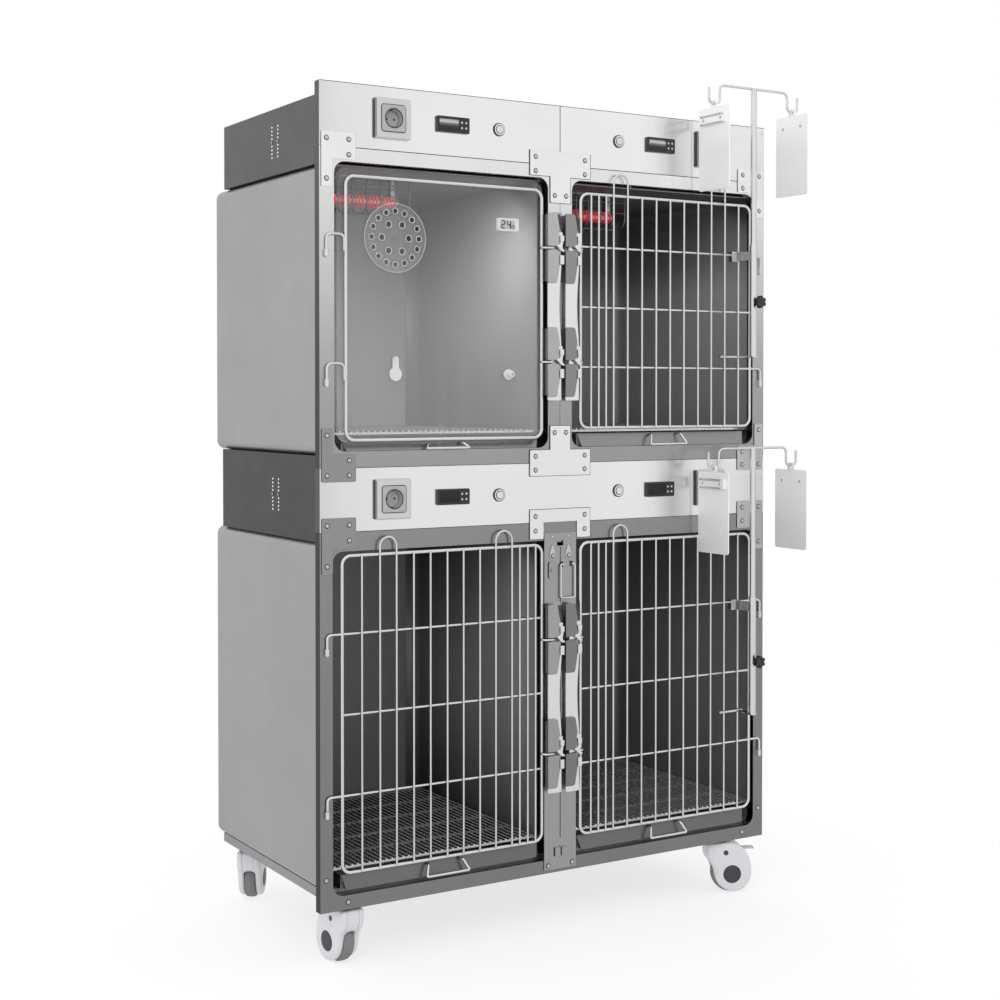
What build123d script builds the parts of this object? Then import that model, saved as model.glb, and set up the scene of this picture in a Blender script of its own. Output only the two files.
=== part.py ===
from build123d import *
import math
import os

# Two-tier, four-cell kennel cage for a veterinary ward.
# Millimetres. +Z up, +X to the right seen from the front, +Y to the back.
# Origin: floor level, mid width, in the plane of the front sheet.
# Heights named LEVEL, and heights in tables, are measured from the underside
# of the front frame; level() turns them into z.

# ---------------------------------------------------------------- dimensions
HALF_WIDTH = 1220.0 / 2       # front frame
CASTER_HEIGHT = 130.0         # floor to underside of the front frame
FRAME_HEIGHT = 1770.0
FRAME_DEPTH = 22.0            # return flange of the front frame
SHEET = 1.5                   # sheet thickness
FRAME_GAP = 0.6               # between front sheets stacked on each other
SPLIT = 0.4                   # half the gap between left and right front sheets
RUN = 0.06                    # running clearance on pins and shafts

UPPER_FRAME = (949.0, 1632.0)           # levels, bottom and top
LOWER_FRAME_TOP = 811.0
OPENING_R = 25.0
UPPER_OPENING_X = (33.0, 575.0)         # inner and outer |x|
UPPER_OPENING = (984.0, 1602.0)         # levels
LOWER_OPENING_X = 580.0                 # half width
LOWER_OPENING = (31.0, 770.0)

SHELL_X = 602.0               # half width of the cage shells and electrics boxes
SHELL_Y = 612.0               # back of the cage shells
SHELL_R = 20.0
SHELL_FRONT = FRAME_DEPTH + 0.3
UPPER_SHELL = (975.0, 1597.0)           # levels
LOWER_SHELL = (40.0, 789.0)
SHELL_GAP = 0.4               # between shells, boxes and base frame

HINGE_X, HINGE_Y = 595.2, -5.0          # door hinge axes; x is |x|
PIN_R = 3.0                   # hinge and latch pins
RING_R = 4.0                  # door perimeter wire
BAR_R = 2.5                   # upright door bars
BAR_Y = HINGE_Y - PIN_R - BAR_R + 0.9   # bars sunk a little into the wires
DOOR_X = (53.5, 560.5)        # inner and outer |x| of the perimeter wire
UPPER_HINGES = (1449.0, 1170.0)         # levels of the hinge wires
LOWER_HINGES = (594.0, 247.0)
GLASS_HINGES = (1447.0, 1172.0)
PIN_DROP, GLASS_PIN_DROP = 45.0, 50.0   # hinge wire down to the end of its pin
UPPER_LATCH_PINS = (1440.7, 1180.2)     # levels
LOWER_LATCH_PINS = (543.9, 281.2)


# ------------------------------------------------------------------- helpers
def level(height):
    return height + CASTER_HEIGHT


def box(x0, x1, y0, y1, z0, z1):
    return Pos((x0 + x1) / 2, (y0 + y1) / 2, (z0 + z1) / 2) * Box(x1 - x0, y1 - y0, z1 - z0)


def cyl(x, y, z, r, length, axis="z"):
    """Cylinder centred on (x, y, z)."""
    turn = {"z": Rot(0, 0, 0), "y": Rot(90, 0, 0), "x": Rot(0, 90, 0)}[axis]
    return Pos(x, y, z) * turn * Cylinder(r, length)


def prism(sketch, y0, y1):
    """Pull a sketch drawn in (x, z) from y0 to y1."""
    plane = Plane(origin=(0, y1, 0), x_dir=(1, 0, 0), z_dir=(0, -1, 0))
    return extrude(plane * sketch, amount=y1 - y0)


def round_rect(x0, x1, z0, z1, r):
    return Pos((x0 + x1) / 2, (z0 + z1) / 2) * RectangleRounded(x1 - x0, z1 - z0, r)


def rect(x0, x1, z0, z1):
    return Pos((x0 + x1) / 2, (z0 + z1) / 2) * Rectangle(x1 - x0, z1 - z0)


def polygon(*points):
    return make_face(Polyline(*points, close=True))


def bent_wire(points, r, bend):
    path = FilletPolyline(*points, radius=bend)
    return sweep(Plane(origin=path @ 0, z_dir=path % 0) * Circle(r), path=path)


def rod(start, end, r):
    run = Vector(*end) - Vector(*start)
    return extrude(Plane(origin=start, z_dir=run) * Circle(r), amount=run.length)


def solids_of(shape):
    if isinstance(shape, (list, tuple)):
        return [solid for item in shape for solid in solids_of(item)]
    return list(shape.solids())


def fuse(items):
    first, rest = items[0], items[1:]
    result = first.fuse(*rest) if rest else first
    if isinstance(result, ShapeList):
        result = Compound(list(result))
    return result


def mirrored(shape):
    return mirror(shape, about=Plane.YZ)


def wire_ring(x0, x1, z0, z1, y, corner=20):
    """Closed rectangle of perimeter wire, built of rods and elbows."""
    r = RING_R
    parts = [rod((x0 + corner, y, z), (x1 - corner, y, z), r) for z in (z0, z1)]
    parts += [rod((x, y, z0 + corner), (x, y, z1 - corner), r) for x in (x0, x1)]
    for x, z, angle in ((x1 - corner, z1 - corner, 0), (x0 + corner, z1 - corner, 90),
                        (x0 + corner, z0 + corner, 180), (x1 - corner, z0 + corner, 270)):
        profile = Plane.XZ * (Pos(corner, 0) * Circle(r))
        elbow = revolve(profile, axis=Axis.Z, revolution_arc=90)
        # the elbow lies in XY; stand it up into XZ
        parts.append(Pos(x, y, z) * Rot(90, 0, 0) * Rot(0, 0, angle) * elbow)
    return fuse(parts)


os.makedirs("parts", exist_ok=True)


def save(name, shapes):
    export_step(Compound(solids_of(shapes)), "parts/" + name + ".step")


# -------------------------------------------------------- front sheet frames
def front_sheet(x0, x1, z0, z1, opening=None, cutouts=()):
    """Flanged sheet; an opening (x0, x1, z0, z1) gets a flange of its own."""
    body = box(x0, x1, 0, FRAME_DEPTH, z0, z1)
    pocket = rect(x0 + SHEET, x1 - SHEET, z0 + SHEET, z1 - SHEET)
    if opening:
        a, b, c, d = opening
        pocket = pocket - round_rect(a - SHEET, b + SHEET, c - SHEET, d + SHEET,
                                     OPENING_R + SHEET)
    body = body - prism(pocket, SHEET, FRAME_DEPTH + 1)
    if opening:
        body = body - prism(round_rect(*opening, OPENING_R), -1, FRAME_DEPTH + 1)
    for cutout in cutouts:
        body = body - cutout
    return body


def upper_front_frames():
    z0, z1 = map(level, UPPER_FRAME)
    inner, outer = UPPER_OPENING_X
    open0, open1 = map(level, UPPER_OPENING)
    return [front_sheet(-HALF_WIDTH, -SPLIT, z0, z1, (-outer, -inner, open0, open1)),
            front_sheet(SPLIT, HALF_WIDTH, z0, z1, (inner, outer, open0, open1))]


def lower_front_frame():
    opening = (-LOWER_OPENING_X, LOWER_OPENING_X, *map(level, LOWER_OPENING))
    return front_sheet(-HALF_WIDTH, HALF_WIDTH, level(0), level(LOWER_FRAME_TOP), opening)


# |x| of the fittings on the fascias, and z of the upper and lower rows
SOCKET_X, CONTROLLER_X, BUTTON_X = 437.4, 286.0, 165.0
ROW_Z = (level(1701.5), level(879.0))


def fascia_cutouts(z, sides):
    cuts = []
    for s in sides:
        for x, half_w, half_h in ((s * SOCKET_X, 28, 28), (s * CONTROLLER_X, 36, 15)):
            cuts.append(box(x - half_w, x + half_w, -1, SHEET + 1, z - half_h, z + half_h))
        cuts.append(cyl(s * BUTTON_X, 0.5, z, 11.2, 6, "y"))
    return cuts


def fascia_panels():
    upper = (level(UPPER_FRAME[1] + FRAME_GAP), level(FRAME_HEIGHT))
    lower = (level(LOWER_FRAME_TOP + FRAME_GAP), level(UPPER_FRAME[0] - FRAME_GAP))
    return [
        front_sheet(-HALF_WIDTH, -SPLIT, *upper, cutouts=fascia_cutouts(ROW_Z[0], (-1,))),
        front_sheet(SPLIT, HALF_WIDTH, *upper, cutouts=fascia_cutouts(ROW_Z[0], (1,))),
        front_sheet(-HALF_WIDTH, HALF_WIDTH, *lower,
                    cutouts=fascia_cutouts(ROW_Z[1], (-1, 1))),
    ]


save("upper_front_frames", upper_front_frames())
save("lower_front_frame", lower_front_frame())
save("fascia_panels", fascia_panels())

# ------------------------------------------------------ gusset plates, rivets
GUSSET_T = 2.0
# levels: band bottom, band top, leg bottom, leg top
GUSSETS = ((1606, 1664, 1546, 1664), (918.7, 979, 918.7, 1034), (775, 842.4, 722, 842.4))


def gusset(band_x, leg_x, levels):
    """Horizontal band crossed by an upright leg."""
    band0, band1, leg0, leg1 = map(level, levels)
    outline = round_rect(*band_x, band0, band1, 4) + round_rect(*leg_x, leg0, leg1, 4)
    return prism(outline, -GUSSET_T, 0)


def gusset_plates():
    """Plates that tie the modules together at both edges and mid width."""
    plates = []
    for levels in GUSSETS:
        left = gusset((-606, -525), (-606, -580), levels)
        plates += [left, mirrored(left)]
    for levels in GUSSETS[:2]:
        plates.append(gusset((-83.5, 83.5), (-28, 28), levels))
    notched = (round_rect(-83.5, 83.5, level(774), level(842.4), 4)
               - rect(-46, 46, level(770), level(813)))
    plates.append(prism(notched, -GUSSET_T, 0))
    return plates


# (distance in from the frame edge, level)
EDGE_RIVETS = (
    (16.4, 1648.9), (68.9, 1648.9), (68.9, 1616.3), (16.4, 1563.2),
    (16.4, 1018.2), (68.9, 964.6), (16.4, 932.9), (68.9, 932.9),
    (16.4, 826.5), (68.9, 826.5), (68.9, 793.3), (16.4, 739.7))
# (|x|, level)
CENTRE_RIVETS = (
    (67.9, 1648.9), (67.9, 1616.3), (15.6, 1563.2), (15.6, 1018.2),
    (67.9, 964.6), (67.9, 932.9), (67.9, 826.5), (67.9, 793.3))
# (distance in from the frame edge, level), directly on the lower front sheet
CORNER_RIVETS = ((14.0, 69.8), (66.0, 16.0))
POST_RIVET = (33.0, 18.0)               # |x| and level, at the foot of the centre post

TOP_BOX = (UPPER_SHELL[1] + SHELL_GAP, 1745.0)      # levels of the electrics boxes
MIDDLE_BOX = (LOWER_SHELL[1] + SHELL_GAP, UPPER_SHELL[0] - SHELL_GAP)
VENT_Y = (231, 231 + 32)                # two columns of slots in each box side


def box_centre_z(levels):
    return (level(levels[0]) + level(levels[1])) / 2


def rivets():
    """Dome-headed rivets on the front and round screws on the electrics boxes."""
    height = 2.4
    head = cyl(0, 0, 0, 4.4, height, "y")
    head = fillet(head.edges().filter_by(GeomType.CIRCLE).group_by(Axis.Y)[0], 1.9)
    places = []                         # (x, y of the surface, level)
    for s in (-1, 1):
        places += [(s * (HALF_WIDTH - inset), -GUSSET_T, z) for inset, z in EDGE_RIVETS]
        places += [(s * x, -GUSSET_T, z) for x, z in CENTRE_RIVETS]
        places += [(s * (HALF_WIDTH - inset), 0, z) for inset, z in CORNER_RIVETS]
        places.append((s * POST_RIVET[0], -2.5, POST_RIVET[1]))
    heads = [Pos(x, y - height / 2, level(z)) * head for x, y, z in places]

    screw = cyl(0, 0, 0, 3.4, 1.8, "x")
    for levels in (TOP_BOX, MIDDLE_BOX):
        for y in VENT_Y:
            for s in (-1, 1):
                heads.append(Pos(s * (SHELL_X + 0.9), y, box_centre_z(levels)) * screw)
    return heads


save("gusset_plates", gusset_plates())
save("rivets", rivets())

# --------------------------------------------- cage shells and electrics boxes
UPPER_GRATE_Z, LOWER_GRATE_Z = level(1025.0), level(84.0)   # centres of the grate rods
LEDGE_DROP = 6.5                        # grate rod centre to the ledge below it


def cage_shell(levels, grate_z):
    """Open-fronted shell with a grate ledge on each side; also returns its cavity."""
    z0, z1 = map(level, levels)
    ledge_z = grate_z - LEDGE_DROP
    outer = box(-SHELL_X, SHELL_X, SHELL_FRONT, SHELL_Y, z0, z1)
    long_edges = outer.edges().filter_by(Axis.Y)
    back_edges = outer.edges().group_by(Axis.Y)[-1]
    outer = fillet(long_edges + back_edges, SHELL_R)
    cavity = box(-SHELL_X + SHEET, SHELL_X - SHEET, FRAME_DEPTH - 5, SHELL_Y - SHEET,
                 z0 + SHEET, z1 - SHEET)
    cavity = fillet(cavity.edges().filter_by(Axis.Y) + cavity.edges().group_by(Axis.Y)[-1],
                    SHELL_R - SHEET)
    ledge = box(-SHELL_X + 0.5, -SHELL_X + 14, FRAME_DEPTH + 8, SHELL_Y - 30,
                ledge_z - SHEET, ledge_z)
    return outer - cavity + ledge + mirrored(ledge), cavity


def divider(cavity, half_w, z0, z1, y0, grate_z):
    """Hollow wall between two cells, trimmed to the cavity, with grate ledges."""
    ledge_z = grate_z - LEDGE_DROP
    outer = box(-half_w, half_w, y0, SHELL_Y, z0, z1) & cavity
    core = box(-half_w + SHEET, half_w - SHEET, y0 + SHEET, SHELL_Y - 22, z0 + 5, z1 - 5)
    ledge = box(-half_w - 12, half_w + 12, FRAME_DEPTH + 12, SHELL_Y - 30,
                ledge_z - SHEET, ledge_z)
    gap = box(-half_w + 1, half_w - 1, 0, 700, ledge_z - 5, ledge_z + 5)
    return (outer - core) + (ledge - gap)


def electrics_box(levels, back_y):
    """Open-fronted box with two columns of vent holes in each side."""
    z0, z1 = map(level, levels)
    outer = box(-SHELL_X, SHELL_X, SHELL_FRONT, back_y, z0, z1)
    outer = fillet(outer.edges().filter_by(Axis.Z).group_by(Axis.Y)[-1], 6)
    body = outer - box(-SHELL_X + SHEET, SHELL_X - SHEET, FRAME_DEPTH - 5, back_y - SHEET,
                       z0 + SHEET, z1 - SHEET)
    holes = []
    for y in VENT_Y:
        for k in range(-4, 5):
            if k == 0:                  # a screw sits here
                continue
            z = box_centre_z(levels) + k * 8.5
            holes += [cyl(x, y, z, 1.6, 8, "x") for x in (-SHELL_X, SHELL_X)]
    return body - holes


upper_shell, upper_cavity = cage_shell(UPPER_SHELL, UPPER_GRATE_Z)
lower_shell, lower_cavity = cage_shell(LOWER_SHELL, LOWER_GRATE_Z)
save("upper_cage_shell", upper_shell)
save("lower_cage_shell", lower_shell)
save("cage_dividers", [
    divider(upper_cavity, 15.0, level(970), level(1600), FRAME_DEPTH + 0.4, UPPER_GRATE_Z),
    divider(lower_cavity, 10.0, level(30), level(790), FRAME_DEPTH + 0.8, LOWER_GRATE_Z)])
save("electrics_boxes", [electrics_box(TOP_BOX, 552.0), electrics_box(MIDDLE_BOX, 565.0)])

# ------------------------------------------------------ base frame and casters
WHEEL_R, WHEEL_W = 48.0, 26.0
TRAIL = 34.0                            # kingpin axis to wheel axle
AXLE_R, KINGPIN_R = 4.0, 6.0
CHEEK = 29.0                            # half width of a caster body
PEDAL_X, PEDAL_Z, PEDAL_PIN_R = 62.0, 95.0, 2.5
CASTERS = {           # name: (x, y, direction the wheel trails in, degrees)
    "front_left": (-532.0, 34.0, 96.0),
    "front_right": (490.0, 34.0, -25.0),
    "rear_left": (-532.0, 566.0, 58.0),
    "rear_right": (490.0, 566.0, 20.0),
}


def base_frame():
    """Rectangle of hollow square tube with a caster boss near each corner."""
    z0, z1 = level(0), level(LOWER_SHELL[0] - SHELL_GAP)
    tube = 40

    def ring(inset):
        outer = box(-600 + inset, 600 - inset, 24 + inset, 582 - inset,
                    z0 + inset, z1 - inset)
        inner_x = 600 - tube + inset
        return outer - box(-inner_x, inner_x, 24 + tube - inset, 582 - tube + inset,
                           z0 - 1, z1 + 1)

    base = ring(0) - ring(2)
    for x, y, _ in CASTERS.values():
        base = base + cyl(x, y, z0 - 2.5, 30, 5.0) + cyl(x, y, z0 + 12, 11, 24.2)
    for x, y, _ in CASTERS.values():
        base = base - cyl(x, y, z0 + 9, KINGPIN_R + RUN, 40)
    return base


# Caster pieces are built with the kingpin on Z and the wheel trailing to +X.
def on_axle(r, length):
    return cyl(TRAIL, 0, WHEEL_R, r, length, "y")


def caster_wheel():
    wheel = on_axle(WHEEL_R, WHEEL_W)
    wheel = fillet(wheel.edges().filter_by(GeomType.CIRCLE), 5)
    return wheel - on_axle(AXLE_R + RUN, 60)


def caster_body():
    """Hood with its axle, kingpin and pedal slot."""
    hood_rim = Pos(TRAIL, WHEEL_R) * Circle(51) & rect(TRAIL - 4, TRAIL + 60,
                                                       WHEEL_R - 38, WHEEL_R + 60)
    neck = polygon((-27, 124.4), (44, 124.4), (72, 101), (TRAIL + 43, WHEEL_R + 28),
                   (TRAIL, WHEEL_R), (-4, WHEEL_R + 12), (-27, 100))
    body = prism(Pos(TRAIL, WHEEL_R) * Circle(44) + hood_rim + neck, -CHEEK, CHEEK)
    # the rounding can fail on the short outline edges; the hood is then left sharp
    try:
        by_y = body.edges().group_by(Axis.Y)
        body = fillet(by_y[0] + by_y[-1], 5)
    except Exception:
        pass
    body = body - on_axle(WHEEL_R + 1.2, WHEEL_W + 2)
    body = body + on_axle(AXLE_R, 2 * CHEEK - 4)
    body = body + cyl(0, 0, 137, KINGPIN_R, 26)
    body = body - box(53, 92, -9.3, 9.3, 88.5, 127)
    return body - cyl(PEDAL_X, 0, PEDAL_Z, PEDAL_PIN_R + RUN, 36, "y")


def brake_pedal():
    """Lever on a cross pin in the hood, on the side the wheel trails."""
    lever = box(56, 94, -9, 9, 104, 108) + box(57, 67, -9, 9, 91, 108)
    return lever + cyl(PEDAL_X, 0, PEDAL_Z, PEDAL_PIN_R, 35, "y")


save("base_frame", base_frame())
body, wheel, pedal = caster_body(), caster_wheel(), brake_pedal()
for name, (x, y, angle) in CASTERS.items():
    place = Pos(x, y, 0) * Rot(0, 0, angle)
    save("caster_" + name, place * body)
    save("wheel_" + name, place * wheel)
    if name.startswith("front"):
        save("brake_pedal_" + name, place * pedal)

# ----------------------------------------------------------------- wire doors
# x of the upright bars, and the index pairs joined over the top into loops
RIGHT_BARS = (80.5, 102.0, 123.0, 144.5, 185.0, 227.0, 269.0,
              310.5, 352.2, 395.2, 436.0, 478.0, 520.6)
RIGHT_LOOPS = ((3, 4), (10, 11))
LEFT_BARS = (-515.5, -471.9, -431.6, -389.0, -347.2, -304.6, -263.3,
             -220.7, -179.1, -136.3, -115.6, -94.1, -73.2)
LEFT_LOOPS = ((1, 2), (8, 9))
# levels
UPPER_DOOR = dict(bottom=1029, top=1572, loop_top=1622, middle=1309,
                  hinges=UPPER_HINGES, pins=UPPER_LATCH_PINS)
LOWER_DOOR = dict(bottom=81, top=761, loop_top=798, middle=420.5,
                  hinges=LOWER_HINGES, pins=LOWER_LATCH_PINS)


def door_bars(bars, loops, z0, z1, loop_top):
    items = []
    for i, j in loops:
        a, b = bars[i], bars[j]
        points = [(a, BAR_Y, z0), (a, BAR_Y, loop_top), (b, BAR_Y, loop_top), (b, BAR_Y, z0)]
        items.append(bent_wire(points, BAR_R, abs(b - a) / 2 - 0.05))
    looped = {i for pair in loops for i in pair}
    for i, x in enumerate(bars):
        if i not in looped:
            items.append(rod((x, BAR_Y, z0), (x, BAR_Y, z1), BAR_R))
    return items


def with_latch_pins(items, side, pin_levels):
    """Fuse the door; its latch pins stay separate rods butted to its inner edge."""
    body = fuse(solids_of(items))
    x0, x1 = sorted((side * DOOR_X[0], side * (DOOR_X[0] - 33.5)))
    solids = list(body.solids())
    for height in pin_levels:
        z = level(height)
        pin = rod((x0, HINGE_Y, z), (x1, HINGE_Y, z), PIN_R)
        solids += list((pin - body).solids())
    return solids


def wire_door(side, bars, loops, bottom, top, loop_top, middle, hinges, pins):
    x0, x1 = sorted(side * x for x in DOOR_X)
    z0, z1 = level(bottom), level(top)
    items = [wire_ring(x0, x1, z0, z1, HINGE_Y)]
    items += door_bars(bars, loops, z0, z1, level(loop_top))
    hinge_x = side * HINGE_X
    for z in map(level, hinges):
        # runs past the door and turns down as the hinge pin
        points = [(side * DOOR_X[0], HINGE_Y, z), (hinge_x, HINGE_Y, z),
                  (hinge_x, HINGE_Y, z - PIN_DROP)]
        items.append(bent_wire(points, PIN_R, 9))
    z = level(middle)
    items.append(rod((x0, HINGE_Y, z), (x1, HINGE_Y, z), PIN_R))
    return with_latch_pins(items, side, pins)


def glass_door_ring():
    """Upper left door: a wire ring in front of a clear panel."""
    items = [wire_ring(-550.0, -DOOR_X[0], level(1008), level(1572), -3.9)]
    for z in map(level, GLASS_HINGES):
        points = [(-554, HINGE_Y, z - 35), (-554, HINGE_Y, z), (-HINGE_X, HINGE_Y, z),
                  (-HINGE_X, HINGE_Y, z - GLASS_PIN_DROP)]
        items.append(bent_wire(points, PIN_R, 12))
    return with_latch_pins(items, -1, UPPER_LATCH_PINS)


def hinge_eyes():
    """Drilled blocks on the front sheet that carry the hinge pins."""
    eyes = []
    for side, hinges, drop in ((-1, GLASS_HINGES, GLASS_PIN_DROP), (1, UPPER_HINGES, PIN_DROP),
                               (-1, LOWER_HINGES, PIN_DROP), (1, LOWER_HINGES, PIN_DROP)):
        x = side * HINGE_X
        for height in hinges:
            z = level(height - drop)
            body = cyl(x, HINGE_Y, z + 9, 5.0, 14) + box(x - 5, x + 5, HINGE_Y, 0, z + 2, z + 16)
            eyes.append(body - cyl(x, HINGE_Y, z + 9, PIN_R + RUN, 30))
    return eyes


save("upper_right_door", wire_door(1, RIGHT_BARS, RIGHT_LOOPS, **UPPER_DOOR))
save("lower_right_door", wire_door(1, RIGHT_BARS, RIGHT_LOOPS, **LOWER_DOOR))
save("lower_left_door", wire_door(-1, LEFT_BARS, LEFT_LOOPS, **LOWER_DOOR))
save("glass_door_ring", glass_door_ring())
save("hinge_eyes", hinge_eyes())

# ------------------------------------------------- clear panel and its fittings
VENT_X, VENT_Z = -430.0, level(1445.0)
VENT_HOLES = ((58.0, 16, 7.0), (33.0, 6, 8.0))      # (ring radius, count, hole radius)
VENT_PIN_R = 3.0
PORT_X, PORT_Z, COVER_PIVOT_Z = -429.2, level(1150.0), level(1181.0)
COVER_PIN_R = 2.5
BARB_X, BARB_Z = -143.0, level(1151.0)
FITTING_SHIFT = Pos(0, 1.1, 0)          # sets the fittings back onto the panel


def vent_holes(y):
    cuts = []
    for ring_r, count, hole_r in VENT_HOLES:
        for k in range(count):
            a = 2 * math.pi * k / count
            cuts.append(cyl(VENT_X + ring_r * math.cos(a), y, VENT_Z + ring_r * math.sin(a),
                            hole_r, 8, "y"))
    return cuts


def glass_panel():
    cuts = vent_holes(1)
    for x, z, r in ((VENT_X, VENT_Z, VENT_PIN_R + RUN), (PORT_X, PORT_Z, 10.0),
                    (PORT_X, COVER_PIVOT_Z, COVER_PIN_R + RUN), (BARB_X, BARB_Z, 5.0)):
        cuts.append(cyl(x, 1, z, r, 8, "y"))
    return prism(round_rect(-569.0, -49.0, level(1003.0), level(1590.0), 22), 0.1, 4.1) - cuts


def stack(x, z, discs):
    """Coaxial discs along Y, each (centre y, radius, length)."""
    first, *rest = [cyl(x, y, z, r, length, "y") for y, r, length in discs]
    for disc in rest:
        first = first + disc
    return first


def vent_shutter():
    """Rotating disc in front of the panel, with knob, pin and rear washer."""
    shutter = cyl(VENT_X, -2.6, VENT_Z, 75, 3.0, "y") - vent_holes(-2.6)
    for y, r, length in ((-5.1, 9, 2.2), (1.0, VENT_PIN_R, 7.0), (4.4, 6.0, 2.6)):
        shutter = shutter + cyl(VENT_X, y, VENT_Z, r, length, "y")
    return FITTING_SHIFT * shutter


def port_cover():
    """Pear-shaped swing cover over the port."""
    outline = (Pos(PORT_X, PORT_Z) * Circle(15)
               + round_rect(PORT_X - 7.5, PORT_X + 7.5, PORT_Z, COVER_PIVOT_Z + 7.5, 7.4))
    cover = prism(outline, -4.2, -1.1)
    for y, r, length in ((-5.0, 4.5, 2.4), (1.0, COVER_PIN_R, 6.0), (4.2, 5.0, 2.2)):
        cover = cover + cyl(PORT_X, y, COVER_PIVOT_Z, r, length, "y")
    return FITTING_SHIFT * cover


def panel_fittings():
    """Display and hose barb."""
    display = box(-172, -118, -10.0, -1.0, level(1474), level(1503))
    display = fillet(display.edges().filter_by(Axis.Y), 3)
    barb = stack(BARB_X, BARB_Z, ((-2.5, 8.5, 3.0), (-11, 4.0, 18), (-16.5, 5.0, 3),
                                  (0.5, 4.95, 6.0), (4.2, 8.0, 2.2)))
    barb = barb - cyl(BARB_X, -7, BARB_Z, 2.4, 30, "y")
    return [FITTING_SHIFT * display, FITTING_SHIFT * barb]


save("glass_panel", glass_panel())
save("vent_shutter", vent_shutter())
save("port_cover", port_cover())
save("panel_fittings", panel_fittings())

# ------------------------------------------------------------------- latches
LATCH_D, LATCH_W, LATCH_H = 22.0, 46.0, 138.0       # housing depth, width, height
PLATE_SLOT = (12.0, 38.6)               # plate slot, from the housing's left edge
POST_FACE_Y = -2.0                      # front of the centre post's face plate
LATCHES = (  # name, left edge x, pin levels, side of the door, back y, plate bottom level
    ("upper_left", -47.5, UPPER_LATCH_PINS, -1, 0.0, 1092.0),
    ("upper_right", 1.5, UPPER_LATCH_PINS, 1, 0.0, 1092.0),
    ("lower_left", -47.5, LOWER_LATCH_PINS, -1, POST_FACE_Y, 189.0),
    ("lower_right", 1.5, LOWER_LATCH_PINS, 1, POST_FACE_Y, 187.0),
)


def latch_housing(x0, pin_z, door_side, back_y):
    half = LATCH_H / 2
    x1 = x0 + LATCH_W
    slot0, slot1 = (x0 + dx for dx in PLATE_SLOT)
    front_y = back_y - LATCH_D - 1
    outline = polygon(
        (x0, pin_z - half + 10), (x0 + 10, pin_z - half), (x0 + 30, pin_z - half),
        (x1, pin_z - half + 26), (x1, pin_z + half - 26), (x0 + 30, pin_z + half),
        (x0 + 10, pin_z + half), (x0, pin_z + half - 10))
    housing = prism(outline, back_y - LATCH_D, back_y)
    housing = housing - box(slot0, slot1, back_y - 16.2, back_y - 12.0,
                            pin_z - 100, pin_z + 100)
    # the pin enters from the door side
    entry = (x0 - 1, x0 + 32) if door_side < 0 else (x0 + 14, x1 + 1)
    housing = housing - box(*entry, front_y, -0.9, pin_z - 3.6, pin_z + 3.6)
    return housing - box(slot0 + 0.01, slot1 - 0.01, front_y, back_y - 12.0,
                         pin_z - 3.6, pin_z + 34)


def wavy_grip(c, top, bottom):
    """Wavy-sided grip centred on x = c, with chamfered corners."""
    upper, middle, lower = (top * 3 + bottom) / 4, (top + bottom) / 2, (top + 3 * bottom) / 4
    right = Spline((c + 19, top - 6), (c + 14, upper), (c + 18, middle),
                   (c + 14, lower), (c + 19, bottom + 6))
    left = Spline((c - 19, bottom + 6), (c - 15, lower), (c - 18, middle),
                  (c - 15, upper), (c - 19, top - 6))
    return make_face(right + Line((c + 19, bottom + 6), (c + 13, bottom))
                     + Line((c + 13, bottom), (c - 13, bottom))
                     + Line((c - 13, bottom), (c - 19, bottom + 6))
                     + left + Line((c - 19, top - 6), (c - 13, top))
                     + Line((c - 13, top), (c + 13, top))
                     + Line((c + 13, top), (c + 19, top - 6)))


def latch_plate(x0, pins, door_side, back_y, bottom):
    """Plate that slides up inside both housings, with a forked catch above each pin."""
    slot0, slot1 = (x0 + dx for dx in PLATE_SLOT)
    px0, px1 = slot0 + 0.3, slot1 - 0.3
    c = (px0 + px1) / 2
    z0 = level(bottom)
    upper_z, lower_z = level(pins[0]), level(pins[1])
    outline = round_rect(px0, px1, z0 + 1, upper_z + 52, 3)
    outline = (outline + wavy_grip(c, upper_z - LATCH_H / 2 - 15, lower_z + LATCH_H / 2 + 3)
               + round_rect(c - 19, c + 19, z0, z0 + 6, 2.5))
    plate = prism(outline, back_y - 15.8, back_y - 12.6)
    # beside each pin only a narrow spine is left, on the side away from the door
    relief = (x0 - 5, x0 + 31.0) if door_side < 0 else (x0 + 17.6, x0 + 60)
    for z in (upper_z, lower_z):
        plate = plate - box(*relief, back_y - 20, back_y - 5, z - 76, z + 76)
        catch = polygon(
            (c - 10, z + 3.3), (c + 10, z + 3.3), (c + 10, z + 8), (c + 4, z + 10),
            (c + 11, z + 20), (c + 6, z + 21.5), (c, z + 13), (c - 6, z + 21.5),
            (c - 11, z + 20), (c - 4, z + 10), (c - 10, z + 8))
        plate = plate + prism(catch, back_y - 25.0, back_y - 13.0)
    return plate


housings = []
for name, x0, pins, door_side, back_y, bottom in LATCHES:
    housings += [latch_housing(x0, level(pin), door_side, back_y) for pin in pins]
    save("latch_plate_" + name, latch_plate(x0, pins, door_side, back_y, bottom))
save("latch_housings", housings)

# --------------------------------------------------------------- centre post
POST_X = 44.0                           # half width
BAIL_X, BAIL_Y, BAIL_Z = 18.0, POST_FACE_Y - 5.2, level(714.0)     # handle pivot
BAIL_R = 2.2
TAB_X, TAB_Z = -24.0, level(701.0)      # turn tab


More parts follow.
